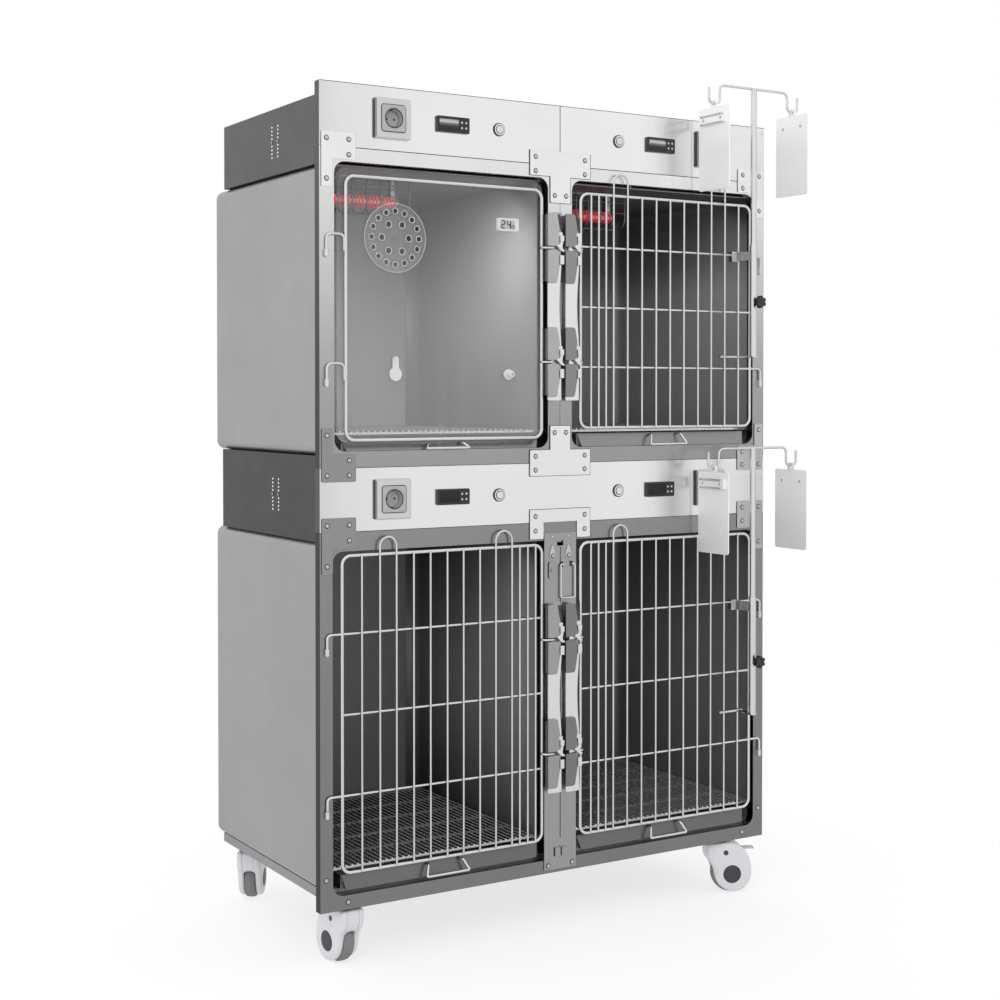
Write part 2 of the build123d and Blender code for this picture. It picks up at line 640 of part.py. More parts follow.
def centre_post():
    """Removable post between the two lower doors."""
    face = POST_FACE_Y
    z0, z1 = map(level, LOWER_OPENING)
    post = (box(-POST_X, POST_X, 0, FRAME_DEPTH, z0 + 0.3, z1 - 0.3)
            - box(-POST_X + SHEET, POST_X - SHEET, SHEET, 30, z0 + 5, z1 - 5))
    post = post + box(-POST_X, POST_X, face, 0, level(8), level(787))
    post = post - box(-9, 8, -3, 2, level(757), level(769))
    for x in (-22, 22):
        post = post + cyl(x, face - 0.6, level(745), 6, 1.4, "y")
    lug = box(-1.5, 1.5, -9, face + 0.5, -6, 6)
    for side in (-1, 1):
        post = post + Pos(BAIL_X + side * 13.0, 0, BAIL_Z) * lug
    post = post - cyl(BAIL_X, BAIL_Y, BAIL_Z, BAIL_R + RUN, 60, "x")
    # turn tab and its screw
    tab = round_rect(TAB_X - 9, TAB_X + 9, TAB_Z - 20, TAB_Z + 20, 6)
    post = post + prism(tab, face - 3.2, face) + cyl(TAB_X, face - 4.0, TAB_Z, 4.5, 2.2, "y")
    # drilled block near the foot
    return (post + box(-16, 16, face - 4, face, level(38), level(58))
            - cyl(0, -4, level(48), 3.0, 30, "z"))


def post_handle():
    """Bail hanging from the two lugs."""
    half, end, low = 19.5, 11.0, BAIL_Z - 78
    points = [(-end, BAIL_Z), (-half, BAIL_Z), (-half, low),
              (half, low), (half, BAIL_Z), (end, BAIL_Z)]
    return bent_wire([(BAIL_X + dx, BAIL_Y, z) for dx, z in points], BAIL_R, 3.5)


save("centre_post", centre_post())
save("post_handle", post_handle())

# ------------------------------------------------------------ grates and trays
GRATE_PITCH = 14.0
GRATE_SHIFT = 615.0                     # left grate to right grate
CELL_BACK = 588.0                       # back of the grates and trays
# name, x0, x1, bottom level, top level
TRAYS = (("upper_left", -553, -55, 984.6, 1002.2), ("upper_right", 55, 553, 984.6, 1015.5),
         ("lower_left", -556, -54, 42.2, 72.5), ("lower_right", 54, 556, 42.2, 72.5))


def grate(x0, x1, y0, y1, z):
    """Rods running front to back over six cross strips."""
    n = int((x1 - x0 - 8) // GRATE_PITCH)
    xs = [(x0 + x1) / 2 + (k - n / 2) * GRATE_PITCH for k in range(n + 1)]
    items = [rod((x, y0, z), (x, y1, z), 2.0) for x in xs]
    for k in range(6):
        y = y0 + 3 + (y1 - y0 - 6) * k / 5
        items.append(box(x0, x1, y - 2.5, y + 2.5, z - 6.4, z - 1.5))
    return fuse(solids_of(items))


def tray(x0, x1, z0, z1):
    """Open pan with a sloping front lip and a wire handle."""
    t, front = 1.2, 14.0
    pan = (box(x0, x1, front, CELL_BACK, z0, z1)
           - box(x0 + t, x1 - t, front + t, CELL_BACK - t, z0 + t, z1 + 5))
    # the lip leans forwards towards its foot and widens towards its top
    section = Plane.YZ.offset(x0) * polygon((front, z0), (front - 11.0, z0),
                                            (front - 1.5, z1), (front, z1))
    lip = extrude(section, amount=x1 - x0)
    end_cut = prism(polygon((x0 - 1, z0 - 1), (x0 + 9, z0 - 1), (x0 + 1, z1 + 1),
                            (x0 - 1, z1 + 1)), -5, front)
    lip = lip - end_cut - Pos(x0 + x1, 0, 0) * mirrored(end_cut)
    pan = pan + lip
    c = (x0 + x1) / 2
    high, low = z1 - 3.5, z0 + 3.6
    points = [(c - 38, front - 3, high), (c - 44, -2.5, high), (c - 54, -16, low),
              (c + 54, -16, low), (c + 44, -2.5, high), (c + 38, front - 3, high)]
    pan = pan + bent_wire(points, 2.3, 3.0)
    return fuse(solids_of(pan))


left_grate = grate(-597.0, -18.0, 34.0, CELL_BACK, UPPER_GRATE_Z)
save("floor_grates", [Pos(dx, 0, dz) * left_grate
                      for dz in (0, LOWER_GRATE_Z - UPPER_GRATE_Z)
                      for dx in (0, GRATE_SHIFT)])
for name, x0, x1, bottom, top in TRAYS:
    save("tray_" + name, tray(x0, x1, level(bottom), level(top)))

# --------------------------------------------- sockets, controllers and buttons
BUTTON_R = 8.5


def socket(x, z):
    body = box(x - 43.5, x + 43.5, -10, 0, z - 44, z + 44)
    body = fillet(body.edges().filter_by(Axis.Y), 5)
    body = chamfer(body.faces().sort_by(Axis.Y)[0].edges(), 3)
    body = body + box(x - 27, x + 27, 0, 40, z - 27, z + 27)
    body = body - cyl(x, -5, z, 20, 34, "y")
    for dx in (-9.5, 9.5):
        body = body - cyl(x + dx, 15, z, 2.5, 24, "y")
    return body


def controller(x, z):
    """Bezel and body, with a sunk display on the left and four round keys."""
    body = box(x - 41, x + 41, -6, 0, z - 17.5, z + 17.5)
    body = fillet(body.edges().filter_by(Axis.Y), 2.5)
    body = body + box(x - 35.5, x + 35.5, 0, 62, z - 14.5, z + 14.5)
    body = body - box(x - 36, x + 14, -7, -5.2, z - 12.5, z + 12.5)
    for i in (0, 1):
        for j in (-1, 1):
            body = body + cyl(x + 21 + 11 * i, -6.3, z + 6 * j, 3.0, 0.8, "y")
    return body


def bezel(x, z):
    body = cyl(x, -2, z, 13, 4, "y") + cyl(x, 14, z, 11, 28, "y")
    return body - cyl(x, 5, z, BUTTON_R + RUN, 34, "y")


def push_button(x, z):
    button = cyl(x, 4, z, BUTTON_R, 20, "y")
    return fillet(button.edges().filter_by(GeomType.CIRCLE).group_by(Axis.Y)[0], 1.2)


for name, make, x in (("power_sockets", socket, SOCKET_X),
                      ("temperature_controllers", controller, CONTROLLER_X),
                      ("button_bezels", bezel, BUTTON_X)):
    save(name, [make(s * x, z) for z in ROW_Z for s in (-1, 1)])
for row, z in zip(("upper", "lower"), ROW_Z):
    for side, s in (("left", -1), ("right", 1)):
        save("push_button_%s_%s" % (row, side), push_button(s * BUTTON_X, z))

# ----------------------------------------------------------------------- lamps
LAMP_X, LAMP_Y = (-430.0, 170.0), 170
UPPER_ROOF = level(UPPER_SHELL[1]) - SHEET
LOWER_ROOF = level(LOWER_SHELL[1]) - SHEET


def tube_lamp(roof):
    """Horizontal infrared tube along Y on two posts under the roof."""
    lamp = cyl(0, 0, roof - 52, 11, 190, "y")
    for y in (-80, 80):
        lamp = lamp + box(-9, 9, y - 5, y + 5, roof - 52, roof)
    return lamp + box(-30, 30, -105, 105, roof - 4, roof)


def lamp_guard(roof):
    """Seven wire hoops joined by six long wires."""
    items = []
    for k in range(7):
        y = -108 + 36 * k
        points = [(-38, y, roof), (-38, y, roof - 82), (38, y, roof - 82), (38, y, roof)]
        items.append(bent_wire(points, 1.8, 26))
    for x, drop in ((-38, 20), (-38, 45), (38, 20), (38, 45), (-8, 82), (8, 82)):
        items.append(rod((x, -110, roof - drop), (x, 110, roof - drop), 1.4))
    return fuse(solids_of(items))


def ring_lamp(x):
    torus = Pos(x, 200, LOWER_ROOF - 16) * Torus(62, 11)
    return torus + box(x - 66, x + 66, 188, 212, LOWER_ROOF - 8, LOWER_ROOF - 0.05)


def across(shape, x):
    """Turn a shape to run along X and place it."""
    return Pos(x, LAMP_Y, 0) * (Rot(0, 0, 90) * shape)


save("lamp_guards", [across(lamp_guard(UPPER_ROOF - 0.05), x) for x in LAMP_X])
save("cell_lamps", [across(tube_lamp(UPPER_ROOF - 0.05), x) for x in LAMP_X]
     + [ring_lamp(x) for x in (-300.0, 300.0)])

# ------------------------------------------------------- drip poles, clipboards
POLE_X, POLE_Y = 516.0, -72.0
POLE_R, TUBE_R = 7.0, 9.0
KNOB_RISE, KNOB_SHAFT_R = 130, 3.0      # knob above the tube's bottom; its shaft
# name, level of the door wire it hangs on, tube bottom level, hook bar level
POLES = (("upper", UPPER_HINGES[0], 1200, 1846.5), ("lower", LOWER_HINGES[0], 327, 975.7))


def pole_tube(wire_z, bottom):
    top = wire_z + 20
    middle = (bottom + top) / 2
    knob_z = bottom + KNOB_RISE
    tube = cyl(POLE_X, POLE_Y, middle, TUBE_R, top - bottom)
    tube = tube + cyl(POLE_X, POLE_Y - 11.5, knob_z, 6.0, 7.0, "y")
    # upper bracket: a strap back to the door wires with a clamp block on its end
    strap = polygon((POLE_X - 3.4, POLE_Y + 6), (POLE_X - 0.2, POLE_Y + 6),
                    (POLE_X - 12.8, -14), (POLE_X - 16, -14))
    strap = extrude(Plane(origin=(0, 0, wire_z - 16)) * strap, amount=22)
    tube = tube + strap + box(POLE_X - 24, POLE_X - 8, -20, -8.1, wire_z - 17, wire_z + 7)
    # lower foot: an arm back to a short cross rod in front of the door bars
    tube = tube + box(POLE_X - 8, POLE_X + 8, POLE_Y - 6, -15, bottom - 3, bottom + 0.2)
    tube = tube + rod((POLE_X - 58, -15.4, bottom - 1.5), (POLE_X + 14, -15.4, bottom - 1.5),
                      2.9)
    tube = tube - cyl(POLE_X, POLE_Y, middle + 10, POLE_R + RUN, top - bottom + 10)
    return tube - cyl(POLE_X, POLE_Y - 12, knob_z, KNOB_SHAFT_R + RUN, 12, "y")


def pole_rod(bottom, bar_z):
    """Sliding rod with the hook bar on its top."""
    z0 = bottom + 40
    upright = cyl(POLE_X, POLE_Y, (z0 + bar_z) / 2, POLE_R, bar_z - z0)
    points = [(-138, -8), (-138, -46), (-106, -46), (-106, 0),
              (106, 0), (106, -46), (138, -46), (138, -8)]
    return upright + bent_wire([(POLE_X + dx, POLE_Y, bar_z + dz) for dx, dz in points],
                               3.0, 14)


def pole_knob(z):
    """Six-lobed knob on a shaft."""
    star = Circle(11)
    for k in range(6):
        a = math.radians(60 * k + 30)
        star = star + Pos(10.5 * math.cos(a), 10.5 * math.sin(a)) * Circle(4.6)
    knob = Pos(POLE_X, 0, z) * prism(star, POLE_Y - 31, POLE_Y - 19)
    return knob + cyl(POLE_X, POLE_Y - 13.5, z, KNOB_SHAFT_R, 12.4, "y")


def clipboard(side, bar_z):
    """Thin board hanging from the hook by an eyelet above its clip."""
    x = POLE_X + side * 122.0
    hook_z = bar_z - 46.0
    top = hook_z - 9.0
    plane = Plane(origin=(x - 1.25, 0, 0), x_dir=(0, 1, 0), z_dir=(1, 0, 0))
    outline = (Pos(POLE_Y, top - 98) * RectangleRounded(114, 196, 7)
               + Pos(POLE_Y, top + 1) * RectangleRounded(24, 32, 8))
    outline = outline - Pos(POLE_Y, hook_z - 1.8) * Circle(5.0)
    board = extrude(plane * outline, amount=2.5)
    clip_x = x + side * 4.4
    clip = box(clip_x - 3.1, clip_x + 3.1, POLE_Y - 45, POLE_Y + 45, top - 40, top - 16)
    return [board, fillet(clip.edges().filter_by(Axis.X), 3)]


for name, wire_level, bottom_level, bar_level in POLES:
    bottom, bar_z = level(bottom_level), level(bar_level)
    save("pole_tube_" + name, pole_tube(level(wire_level), bottom))
    save("pole_rod_" + name, pole_rod(bottom, bar_z))
    save("pole_knob_" + name, pole_knob(bottom + KNOB_RISE))
    for side, s in (("left", -1), ("right", 1)):
        save("clipboard_%s_%s" % (name, side), clipboard(s, bar_z))
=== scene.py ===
# A steel cage cabinet on four swivel casters: two cells above and two below, each with a door,
# latch, waste tray, floor grate and a panel of electrics.
# Metres, +Z up, ground at z = 0. The front faces -Y, left is -X and x = 0 is the middle line.
# Loaded pieces are given materials, and the parts that need more detail are built here.
import math
from functools import cached_property

import bmesh
import bpy
from mathutils import Matrix, Vector


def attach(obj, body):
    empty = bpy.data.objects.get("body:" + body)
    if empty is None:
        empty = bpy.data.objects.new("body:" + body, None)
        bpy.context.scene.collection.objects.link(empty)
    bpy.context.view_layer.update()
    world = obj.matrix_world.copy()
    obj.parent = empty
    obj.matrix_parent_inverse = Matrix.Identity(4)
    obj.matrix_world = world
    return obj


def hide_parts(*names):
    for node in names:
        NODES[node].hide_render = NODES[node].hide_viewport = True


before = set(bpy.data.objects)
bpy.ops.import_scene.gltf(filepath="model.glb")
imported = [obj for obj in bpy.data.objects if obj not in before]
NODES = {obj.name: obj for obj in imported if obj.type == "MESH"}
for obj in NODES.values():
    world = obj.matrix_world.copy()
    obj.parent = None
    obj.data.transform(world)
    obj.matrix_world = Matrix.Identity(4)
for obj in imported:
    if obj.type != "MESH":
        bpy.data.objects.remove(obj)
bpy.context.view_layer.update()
scene = bpy.context.scene
scene.view_settings.view_transform = "Standard"
scene.view_settings.look = "None"

# Driving dimensions shared by several sections
HALF_WIDTH = 0.610
PLATE_DEPTH = 0.002              # gusset plates stand this far in front of y = 0
PANEL_ROWS = (1.8315, 1.009)     # middle heights of the upper and lower electrics panels
SOCKET_X = 0.4374                # distances from the middle line
CONTROLLER_X = 0.286
BUTTON_X = 0.165
CELL_HEIGHTS = ((1.1066, 1.7254), (0.1716, 0.9174))  # bottom and top, upper then lower cells
SIDES = (-1, 1)                  # left, right
FORWARD, BACKWARD = (0, -1, 0), (0, 1, 0)


# ------------------------------------------------------------------ shader nodes
def grey(level):
    return (level, level, level, 1.0)


class Nodes:
    """Builds the node tree of a material or a world."""

    def __init__(self, owner, output="ShaderNodeOutputMaterial"):
        owner.use_nodes = True
        self.tree = owner.node_tree
        self.tree.nodes.clear()
        self.output = self.add(output)
        self.coords = self.add("ShaderNodeTexCoord")

    def feed(self, socket, value):
        """Links a socket to an output, or sets its plain value."""
        if isinstance(value, bpy.types.NodeSocket):
            self.tree.links.new(value, socket)
        else:
            socket.default_value = value

    def add(self, kind, inputs=None, **settings):
        node = self.tree.nodes.new(kind)
        for name, value in settings.items():
            setattr(node, name, value)
        for key, value in (inputs or {}).items():
            self.feed(node.inputs[key], value)
        return node

    def finish(self, shader):
        self.feed(self.output.inputs["Surface"], shader.outputs[0])

    @cached_property
    def position(self):
        """Object-space x, y and z outputs of one shared node."""
        return self.add("ShaderNodeSeparateXYZ", {0: self.coords.outputs["Object"]}).outputs

    def normal_x(self):
        geometry = self.add("ShaderNodeNewGeometry")
        return self.add("ShaderNodeSeparateXYZ", {0: geometry.outputs["Normal"]}).outputs[0]

    def noise(self, scale, detail, roughness, stretch=(1, 1, 1), distortion=0.0):
        mapping = self.add("ShaderNodeMapping", {
            "Scale": stretch, "Vector": self.coords.outputs["Object"]})
        return self.add("ShaderNodeTexNoise", {
            "Scale": scale, "Detail": detail, "Roughness": roughness, "Distortion": distortion,
            "Vector": mapping.outputs["Vector"]}).outputs["Fac"]

    def remap(self, source, source_range, result_range):
        return self.add("ShaderNodeMapRange", {
            "From Min": source_range[0], "From Max": source_range[1],
            "To Min": result_range[0], "To Max": result_range[1],
            "Value": source}).outputs["Result"]

    def curve(self, source, points):
        """Piecewise straight line through (value, result) points."""
        low, high = points[0][0], points[-1][0]
        top = 4.0  # ramp colours stay within 0..1, so results are stored as a share of this
        ramp = self.add("ShaderNodeValToRGB", {
            0: self.remap(source, (low, high), (0.0, 1.0))})
        stops = ramp.color_ramp.elements
        while len(stops) < len(points):
            stops.new(0.5)
        for stop, (value, _) in zip(stops, points):
            stop.position = (value - low) / (high - low)
        for stop, (_, result) in zip(stops, points):
            stop.color = grey(result / top)
        return self.times(ramp.outputs["Color"], top)

    def math(self, operation, first, second):
        return self.add("ShaderNodeMath", {0: first, 1: second}, operation=operation).outputs[0]

    def times(self, first, second):
        return self.math("MULTIPLY", first, second)

    def plus(self, first, second):
        return self.math("ADD", first, second)

    def mix_colour(self, factor, first, second):
        first, second = ((*c, 1.0) if isinstance(c, tuple) else c for c in (first, second))
        return self.add("ShaderNodeMix", {0: factor, 6: first, 7: second},
                        data_type="RGBA").outputs[2]

    def mix_shader(self, factor, first, second):
        return self.add("ShaderNodeMixShader", {
            0: factor, 1: first.outputs[0], 2: second.outputs[0]})

    def bump(self, height, strength, distance, normal=None):
        inputs = {"Strength": strength, "Distance": distance, "Height": height}
        if normal is not None:
            inputs["Normal"] = normal
        return self.add("ShaderNodeBump", inputs).outputs["Normal"]

    def edge(self, radius):
        """Rounded normal, and a 0..1 mask that is high on edges."""
        rounded = self.add("ShaderNodeBevel", {"Radius": radius}, samples=3).outputs["Normal"]
        geometry = self.add("ShaderNodeNewGeometry")
        agreement = self.add("ShaderNodeVectorMath", {
            0: rounded, 1: geometry.outputs["Normal"]}, operation="DOT_PRODUCT")
        return rounded, self.remap(agreement.outputs["Value"], (0.97, 0.72), (0.0, 1.0))


# ------------------------------------------------------------------ material kinds
MATERIALS = {}
LEFT_FACING = (-0.85, -0.5)  # normal x over which the painted shade on left-facing faces fades out


def new_material(name):
    MATERIALS[name] = bpy.data.materials.new(name)
    return Nodes(MATERIALS[name])


def add_shade_patches(tree, tone, shade_patches):
    """Paints shade: scales the tone inside (x0, x1, z0, z1, factor) rectangles."""
    x, _, z = tree.position
    for x0, x1, z0, z1, factor in shade_patches:
        across = tree.times(tree.math("GREATER_THAN", x, x0), tree.math("LESS_THAN", x, x1))
        up = tree.times(tree.math("GREATER_THAN", z, z0), tree.math("LESS_THAN", z, z1))
        tone = tree.times(tone, tree.remap(tree.times(across, up), (0, 1), (1.0, factor)))
    return tone


def add_cell_shading(tree, tone, centre, left, right):
    """Faces that look towards the shell's middle get their own cell's painted light and shade, by
    height.

    Returns the tone and a mask of those inner faces."""
    geometry = tree.add("ShaderNodeNewGeometry").outputs
    outward = tree.add("ShaderNodeVectorMath", {0: geometry["Position"], 1: centre},
                       operation="SUBTRACT")
    facing = tree.add("ShaderNodeVectorMath", {0: outward.outputs[0], 1: geometry["True Normal"]},
                      operation="DOT_PRODUCT")
    inner = tree.math("LESS_THAN", facing.outputs["Value"], 0.0)
    x, _, z = tree.position
    is_left = tree.math("LESS_THAN", x, 0.0)
    left_shading, right_shading = tree.curve(z, left), tree.curve(z, right)
    is_right = tree.math("SUBTRACT", 1.0, is_left)
    cell = tree.plus(tree.times(is_left, left_shading), tree.times(is_right, right_shading))
    scale = tree.plus(tree.times(inner, cell), tree.math("SUBTRACT", 1.0, inner))
    return tree.times(tone, scale), inner


def metal(name, base, rough, grain, streaks, cloud, bump, edge=0.0007, metallic=1.0, edge_wear_and_light=0.25,
          edge_wear_and_light_tone=None, height_shading=None, x_shading=None, shade_patches=(), left_shading=None, edge_on_shading=None,
          cell_shading=None):
    """Sheet metal or wire: brushed grain, cloudy tone, smudged roughness, and edges toned partly
    as wear and partly as painted light: a highlight where lighter, a dark edge line where darker.

    grain is the noise scale per axis; streaks and cloud are tone swings; the shadings are painted
    light and shade, as factors by height, by x, in rectangles, inside the cells, for left-facing
    faces and for faces seen edge-on."""
    tree = new_material(name)
    streak = tree.noise(scale=1.0, detail=5.0, roughness=0.6, stretch=grain)
    clouds = tree.noise(scale=2.3, detail=3.0, roughness=0.5, stretch=(1, 1, 0.6), distortion=0.4)
    smudge = tree.noise(scale=9.0, detail=6.0, roughness=0.65)
    tone = tree.plus(tree.remap(streak, (0.25, 0.75), (1 - streaks, 1 + streaks)),
                     tree.remap(clouds, (0.3, 0.7), (-cloud, cloud)))
    # painted light and shade by height
    if height_shading:
        tone = tree.times(tone, tree.curve(tree.position[2], height_shading))
    # painted shade and reflection across x
    if x_shading:
        tone = tree.times(tone, tree.curve(tree.position[0], x_shading))
    # painted shade inside rectangles
    if shade_patches:
        tone = add_shade_patches(tree, tone, shade_patches)
    # painted shade on left-facing faces
    if left_shading is not None:
        tone = tree.times(tone, tree.remap(tree.normal_x(), LEFT_FACING, (left_shading, 1.0)))
    # painted shade on faces seen edge-on
    if edge_on_shading is not None:
        facing = tree.add("ShaderNodeLayerWeight", {"Blend": 0.5}).outputs["Facing"]
        tone = tree.times(tone, tree.remap(facing, (0.35, 0.95), (1.0, edge_on_shading)))
    # painted light and shade on the inner faces of the cells
    if cell_shading:
        tone, inner = add_cell_shading(tree, tone, *cell_shading)
    # one multiplier per channel keeps the channels free to be tinted
    colour = tree.add("ShaderNodeCombineColor", {
        channel: tree.times(tone, base) for channel in ("Red", "Green", "Blue")}).outputs[0]
    roughness = tree.plus(tree.remap(smudge, (0.3, 0.75), (rough - 0.05, rough + 0.08)),
                          tree.remap(streak, (0.3, 0.7), (-0.04, 0.04)))
    normal = None
    # edges toned partly as wear and partly as painted light: lighter edges are a highlight, darker
    # edges on bright metals a dark edge line
    if edge:
        normal, mask = tree.edge(edge)
        patchy = tree.remap(smudge, (0.35, 0.6), (0.3, 1.0))
        edge_wear_and_light_amount = tree.times(mask, tree.times(patchy, edge_wear_and_light))
        edge_wear_and_light_level = min(1, base * 1.7) if edge_wear_and_light_tone is None else edge_wear_and_light_tone
        colour = tree.mix_colour(edge_wear_and_light_amount, colour, (edge_wear_and_light_level,) * 3)
        roughness = tree.plus(roughness, tree.times(edge_wear_and_light_amount, -0.08))
    surface = tree.add("ShaderNodeBsdfPrincipled", {
        "Base Color": colour, "Roughness": roughness, "Metallic": metallic,
        "Normal": tree.bump(streak, bump, distance=0.0006, normal=normal)})
    if cell_shading:
        tree.feed(surface.inputs["Metallic"], tree.remap(inner, (0, 1), (metallic, 0.30)))
    tree.finish(surface)


def plastic(name, colour, rough, peel, peel_scale, drift, coat=0.0, dirt=0.0, edge_wear_and_light=0.3,
            left_shading=None):
    """Moulded plastic, rubber or paint: fine texture, slight tone drift, softened edges lightened
    partly by wear and partly as a painted highlight, and painted shade on left-facing faces.
    """
    tree = new_material(name)
    fine = tree.noise(scale=peel_scale, detail=2.0, roughness=0.5)
    clouds = tree.noise(scale=7.0, detail=4.0, roughness=0.6)
    smudge = tree.noise(scale=26.0, detail=5.0, roughness=0.6)
    dark = tuple(v * (1 - drift - dirt) for v in colour)
    light = tuple(min(1, v * (1 + drift) + 0.004) for v in colour)
    edge_wear_and_light_colour = tuple(min(1, v * 1.35 + 0.02) for v in colour)
    mixed = tree.mix_colour(tree.remap(clouds, (0.3, 0.7), (0, 1)), dark, light)
    # edges lightened partly as wear and partly as a painted highlight
    normal, mask = tree.edge(0.0006)
    edge_wear_and_light_amount = tree.times(mask, tree.times(tree.remap(smudge, (0.4, 0.62), (0.15, 1.0)), edge_wear_and_light))
    mixed = tree.mix_colour(edge_wear_and_light_amount, mixed, edge_wear_and_light_colour)
    # painted shade: left-facing faces fade towards a set grey
    if left_shading is not None:
        fade = tree.remap(tree.normal_x(), LEFT_FACING, (1.0, 0.0))
        mixed = tree.mix_colour(fade, mixed, (left_shading,) * 3)
    tree.finish(tree.add("ShaderNodeBsdfPrincipled", {
        "Base Color": mixed,
        "Roughness": tree.remap(smudge, (0.3, 0.7), (rough - 0.06, rough + 0.08)),
        "Normal": tree.bump(fine, peel, distance=0.0004, normal=normal),
        "Coat Weight": coat, "Coat Roughness": 0.12}))


def clear_panel():
    """Mostly see-through, with a soft sheen, a faint haze painted thicker towards the bottom as
    reflected light, and fine wipe marks.
    """
    tree = new_material("clear_panel")
    through = tree.add("ShaderNodeBsdfTransparent", {"Color": grey(0.955)})
    wipe = tree.noise(scale=1.0, detail=5.0, roughness=0.65, stretch=(40, 40, 4), distortion=0.6)
    sheen = tree.add("ShaderNodeBsdfGlossy", {
        "Color": grey(1), "Roughness": tree.remap(wipe, (0.3, 0.7), (0.02, 0.10))})
    reflection_haze = tree.add("ShaderNodeBsdfDiffuse", {"Color": grey(0.9)})
    fresnel = tree.add("ShaderNodeLayerWeight", {"Blend": 0.32}).outputs["Fresnel"]
    glass = tree.mix_shader(tree.remap(fresnel, (0.0, 1.0), (0.02, 0.35)), through, sheen)
    # painted reflection: the haze thickens from the top of the door to the bottom
    amount = tree.times(tree.remap(tree.position[2], (1.70, 1.14), (0.02, 0.10)),
                        tree.remap(wipe, (0.25, 0.75), (0.85, 1.15)))
    tree.finish(tree.mix_shader(amount, glass, reflection_haze))


def infrared_glow():
    tree = new_material("infrared_glow")
    strength = 0.34
    uneven = tree.noise(scale=60.0, detail=3.0, roughness=0.5)
    tree.finish(tree.add("ShaderNodeBsdfPrincipled", {
        "Base Color": (0.22, 0.01, 0.02, 1), "Roughness": 0.25,
        "Emission Color": (1.0, 0.03, 0.06, 1),
        "Emission Strength": tree.remap(uneven, (0.3, 0.7), (strength * 0.7, strength * 1.3))}))


# ------------------------------------------------------------------ materials
# (height, factor) and (x, factor) points of painted light and shade
# painted glint: a bright band across the upper controller windows, darker elsewhere
WINDOW_PAINTED_GLINT = [(0.9, 0.12), (1.7, 0.14), (1.8290, 0.16), (1.8310, 0.45), (1.8345, 0.9),
                (1.8375, 2.2), (1.8395, 0.6), (1.8425, 1.9), (1.8450, 0.7)]
# frames painted lighter towards the top
FRAME_HEIGHT_SHADING = [(0.10, 0.72), (0.55, 0.80), (1.0, 0.92), (1.25, 1.12), (1.5, 1.65), (1.72, 2.2),
               (1.95, 2.3)]
# painted shade towards the left end and a painted dark reflection band at x 0.27 to 0.36
FASCIA_X_SHADING = [(-0.62, 0.80), (-0.56, 0.90), (-0.40, 0.97), (0.22, 1.0), (0.27, 0.93),
                  (0.325, 0.62), (0.36, 0.80), (0.40, 0.97), (0.62, 0.92)]
# housings painted lighter towards the top
HOUSING_HEIGHT_SHADING = [(0.2, 0.72), (0.9, 0.8), (1.15, 0.86), (1.7, 0.95)]
# dividers and liners: painted light and shade by height inside the cells
DIVIDER_HEIGHT_SHADING = [(0.17, 0.5), (0.5, 0.5), (0.93, 0.35), (0.95, 1.0), (1.10, 1.12), (1.3, 1.02),
                 (1.5, 0.92), (1.73, 0.7)]
LINER_HEIGHT_SHADING = [(0.17, 0.55), (0.35, 0.60), (0.6, 0.50), (0.92, 0.30), (0.95, 0.9), (1.73, 0.5)]
# middle of the shell, then the painted light and shade by height in its left and right cells
UPPER_CELL_SHADING = ((0.0, 0.3, 1.416),
                    [(1.10, 1.25), (1.25, 1.25), (1.45, 1.1), (1.62, 0.85), (1.73, 0.7)],
                    [(1.10, 0.75), (1.25, 0.8), (1.50, 0.75), (1.58, 0.40), (1.73, 0.25)])
LOWER_CELL_SHADING = ((0.0, 0.3, 0.545),
                    [(0.17, 0.55), (0.35, 0.55), (0.6, 0.55), (0.92, 0.62)],
                    [(0.17, 0.5), (0.35, 0.5), (0.6, 0.5), (0.92, 0.32)])

# Surface textures shared by several metals
POLISHED = dict(rough=0.22, grain=(120, 120, 3), streaks=0.010, cloud=0.02, bump=0.015,
                edge=0.0012)
# painted shade on left-facing faces, dark edge lines, and light growing towards the top
BRUSHED = dict(rough=0.26, streaks=0.012, bump=0.008, left_shading=0.10, height_shading=FRAME_HEIGHT_SHADING,
               edge_wear_and_light=0.6)
SHELL = dict(base=0.40, rough=0.42, grain=(140, 3, 140), streaks=0.02, cloud=0.04, bump=0.03,
             metallic=0.85)
INTERIOR = dict(rough=0.40, grain=(140, 140, 4), streaks=0.02, cloud=0.04, bump=0.015,
                metallic=0.30)
HOUSING = dict(rough=0.28, grain=(120, 120, 6), streaks=0.02, bump=0.02, edge_wear_and_light=0.6,
               height_shading=HOUSING_HEIGHT_SHADING)
WIRE = dict(grain=(90, 90, 90), bump=0.01, edge=0)

# painted shade on left-facing faces, dark edge lines, painted reflection across x
metal("polished_fascia", base=0.97, left_shading=0.12, edge_wear_and_light_tone=0.22, edge_wear_and_light=0.8,
      x_shading=FASCIA_X_SHADING, **POLISHED)
# painted shade: darker in two lower side rectangles and on left-facing faces, dark edge lines
metal("polished_gusset", base=0.95, left_shading=0.15, edge_wear_and_light_tone=0.20, edge_wear_and_light=0.9,
      shade_patches=((-0.62, -0.40, 0.80, 1.20, 0.36), (0.40, 0.62, 0.80, 1.20, 0.62)), **POLISHED)
metal("brushed_frame", base=0.40, grain=(160, 160, 3), cloud=0.04, edge_wear_and_light_tone=0.10, **BRUSHED)
metal("brushed_frame_low", base=0.36, grain=(3, 160, 160), cloud=0.05, edge_wear_and_light_tone=0.09, **BRUSHED)
# painted light and shade by height on the inner faces of each cell
metal("satin_upper_shell", cell_shading=UPPER_CELL_SHADING, **SHELL)
metal("satin_lower_shell", cell_shading=LOWER_CELL_SHADING, **SHELL)
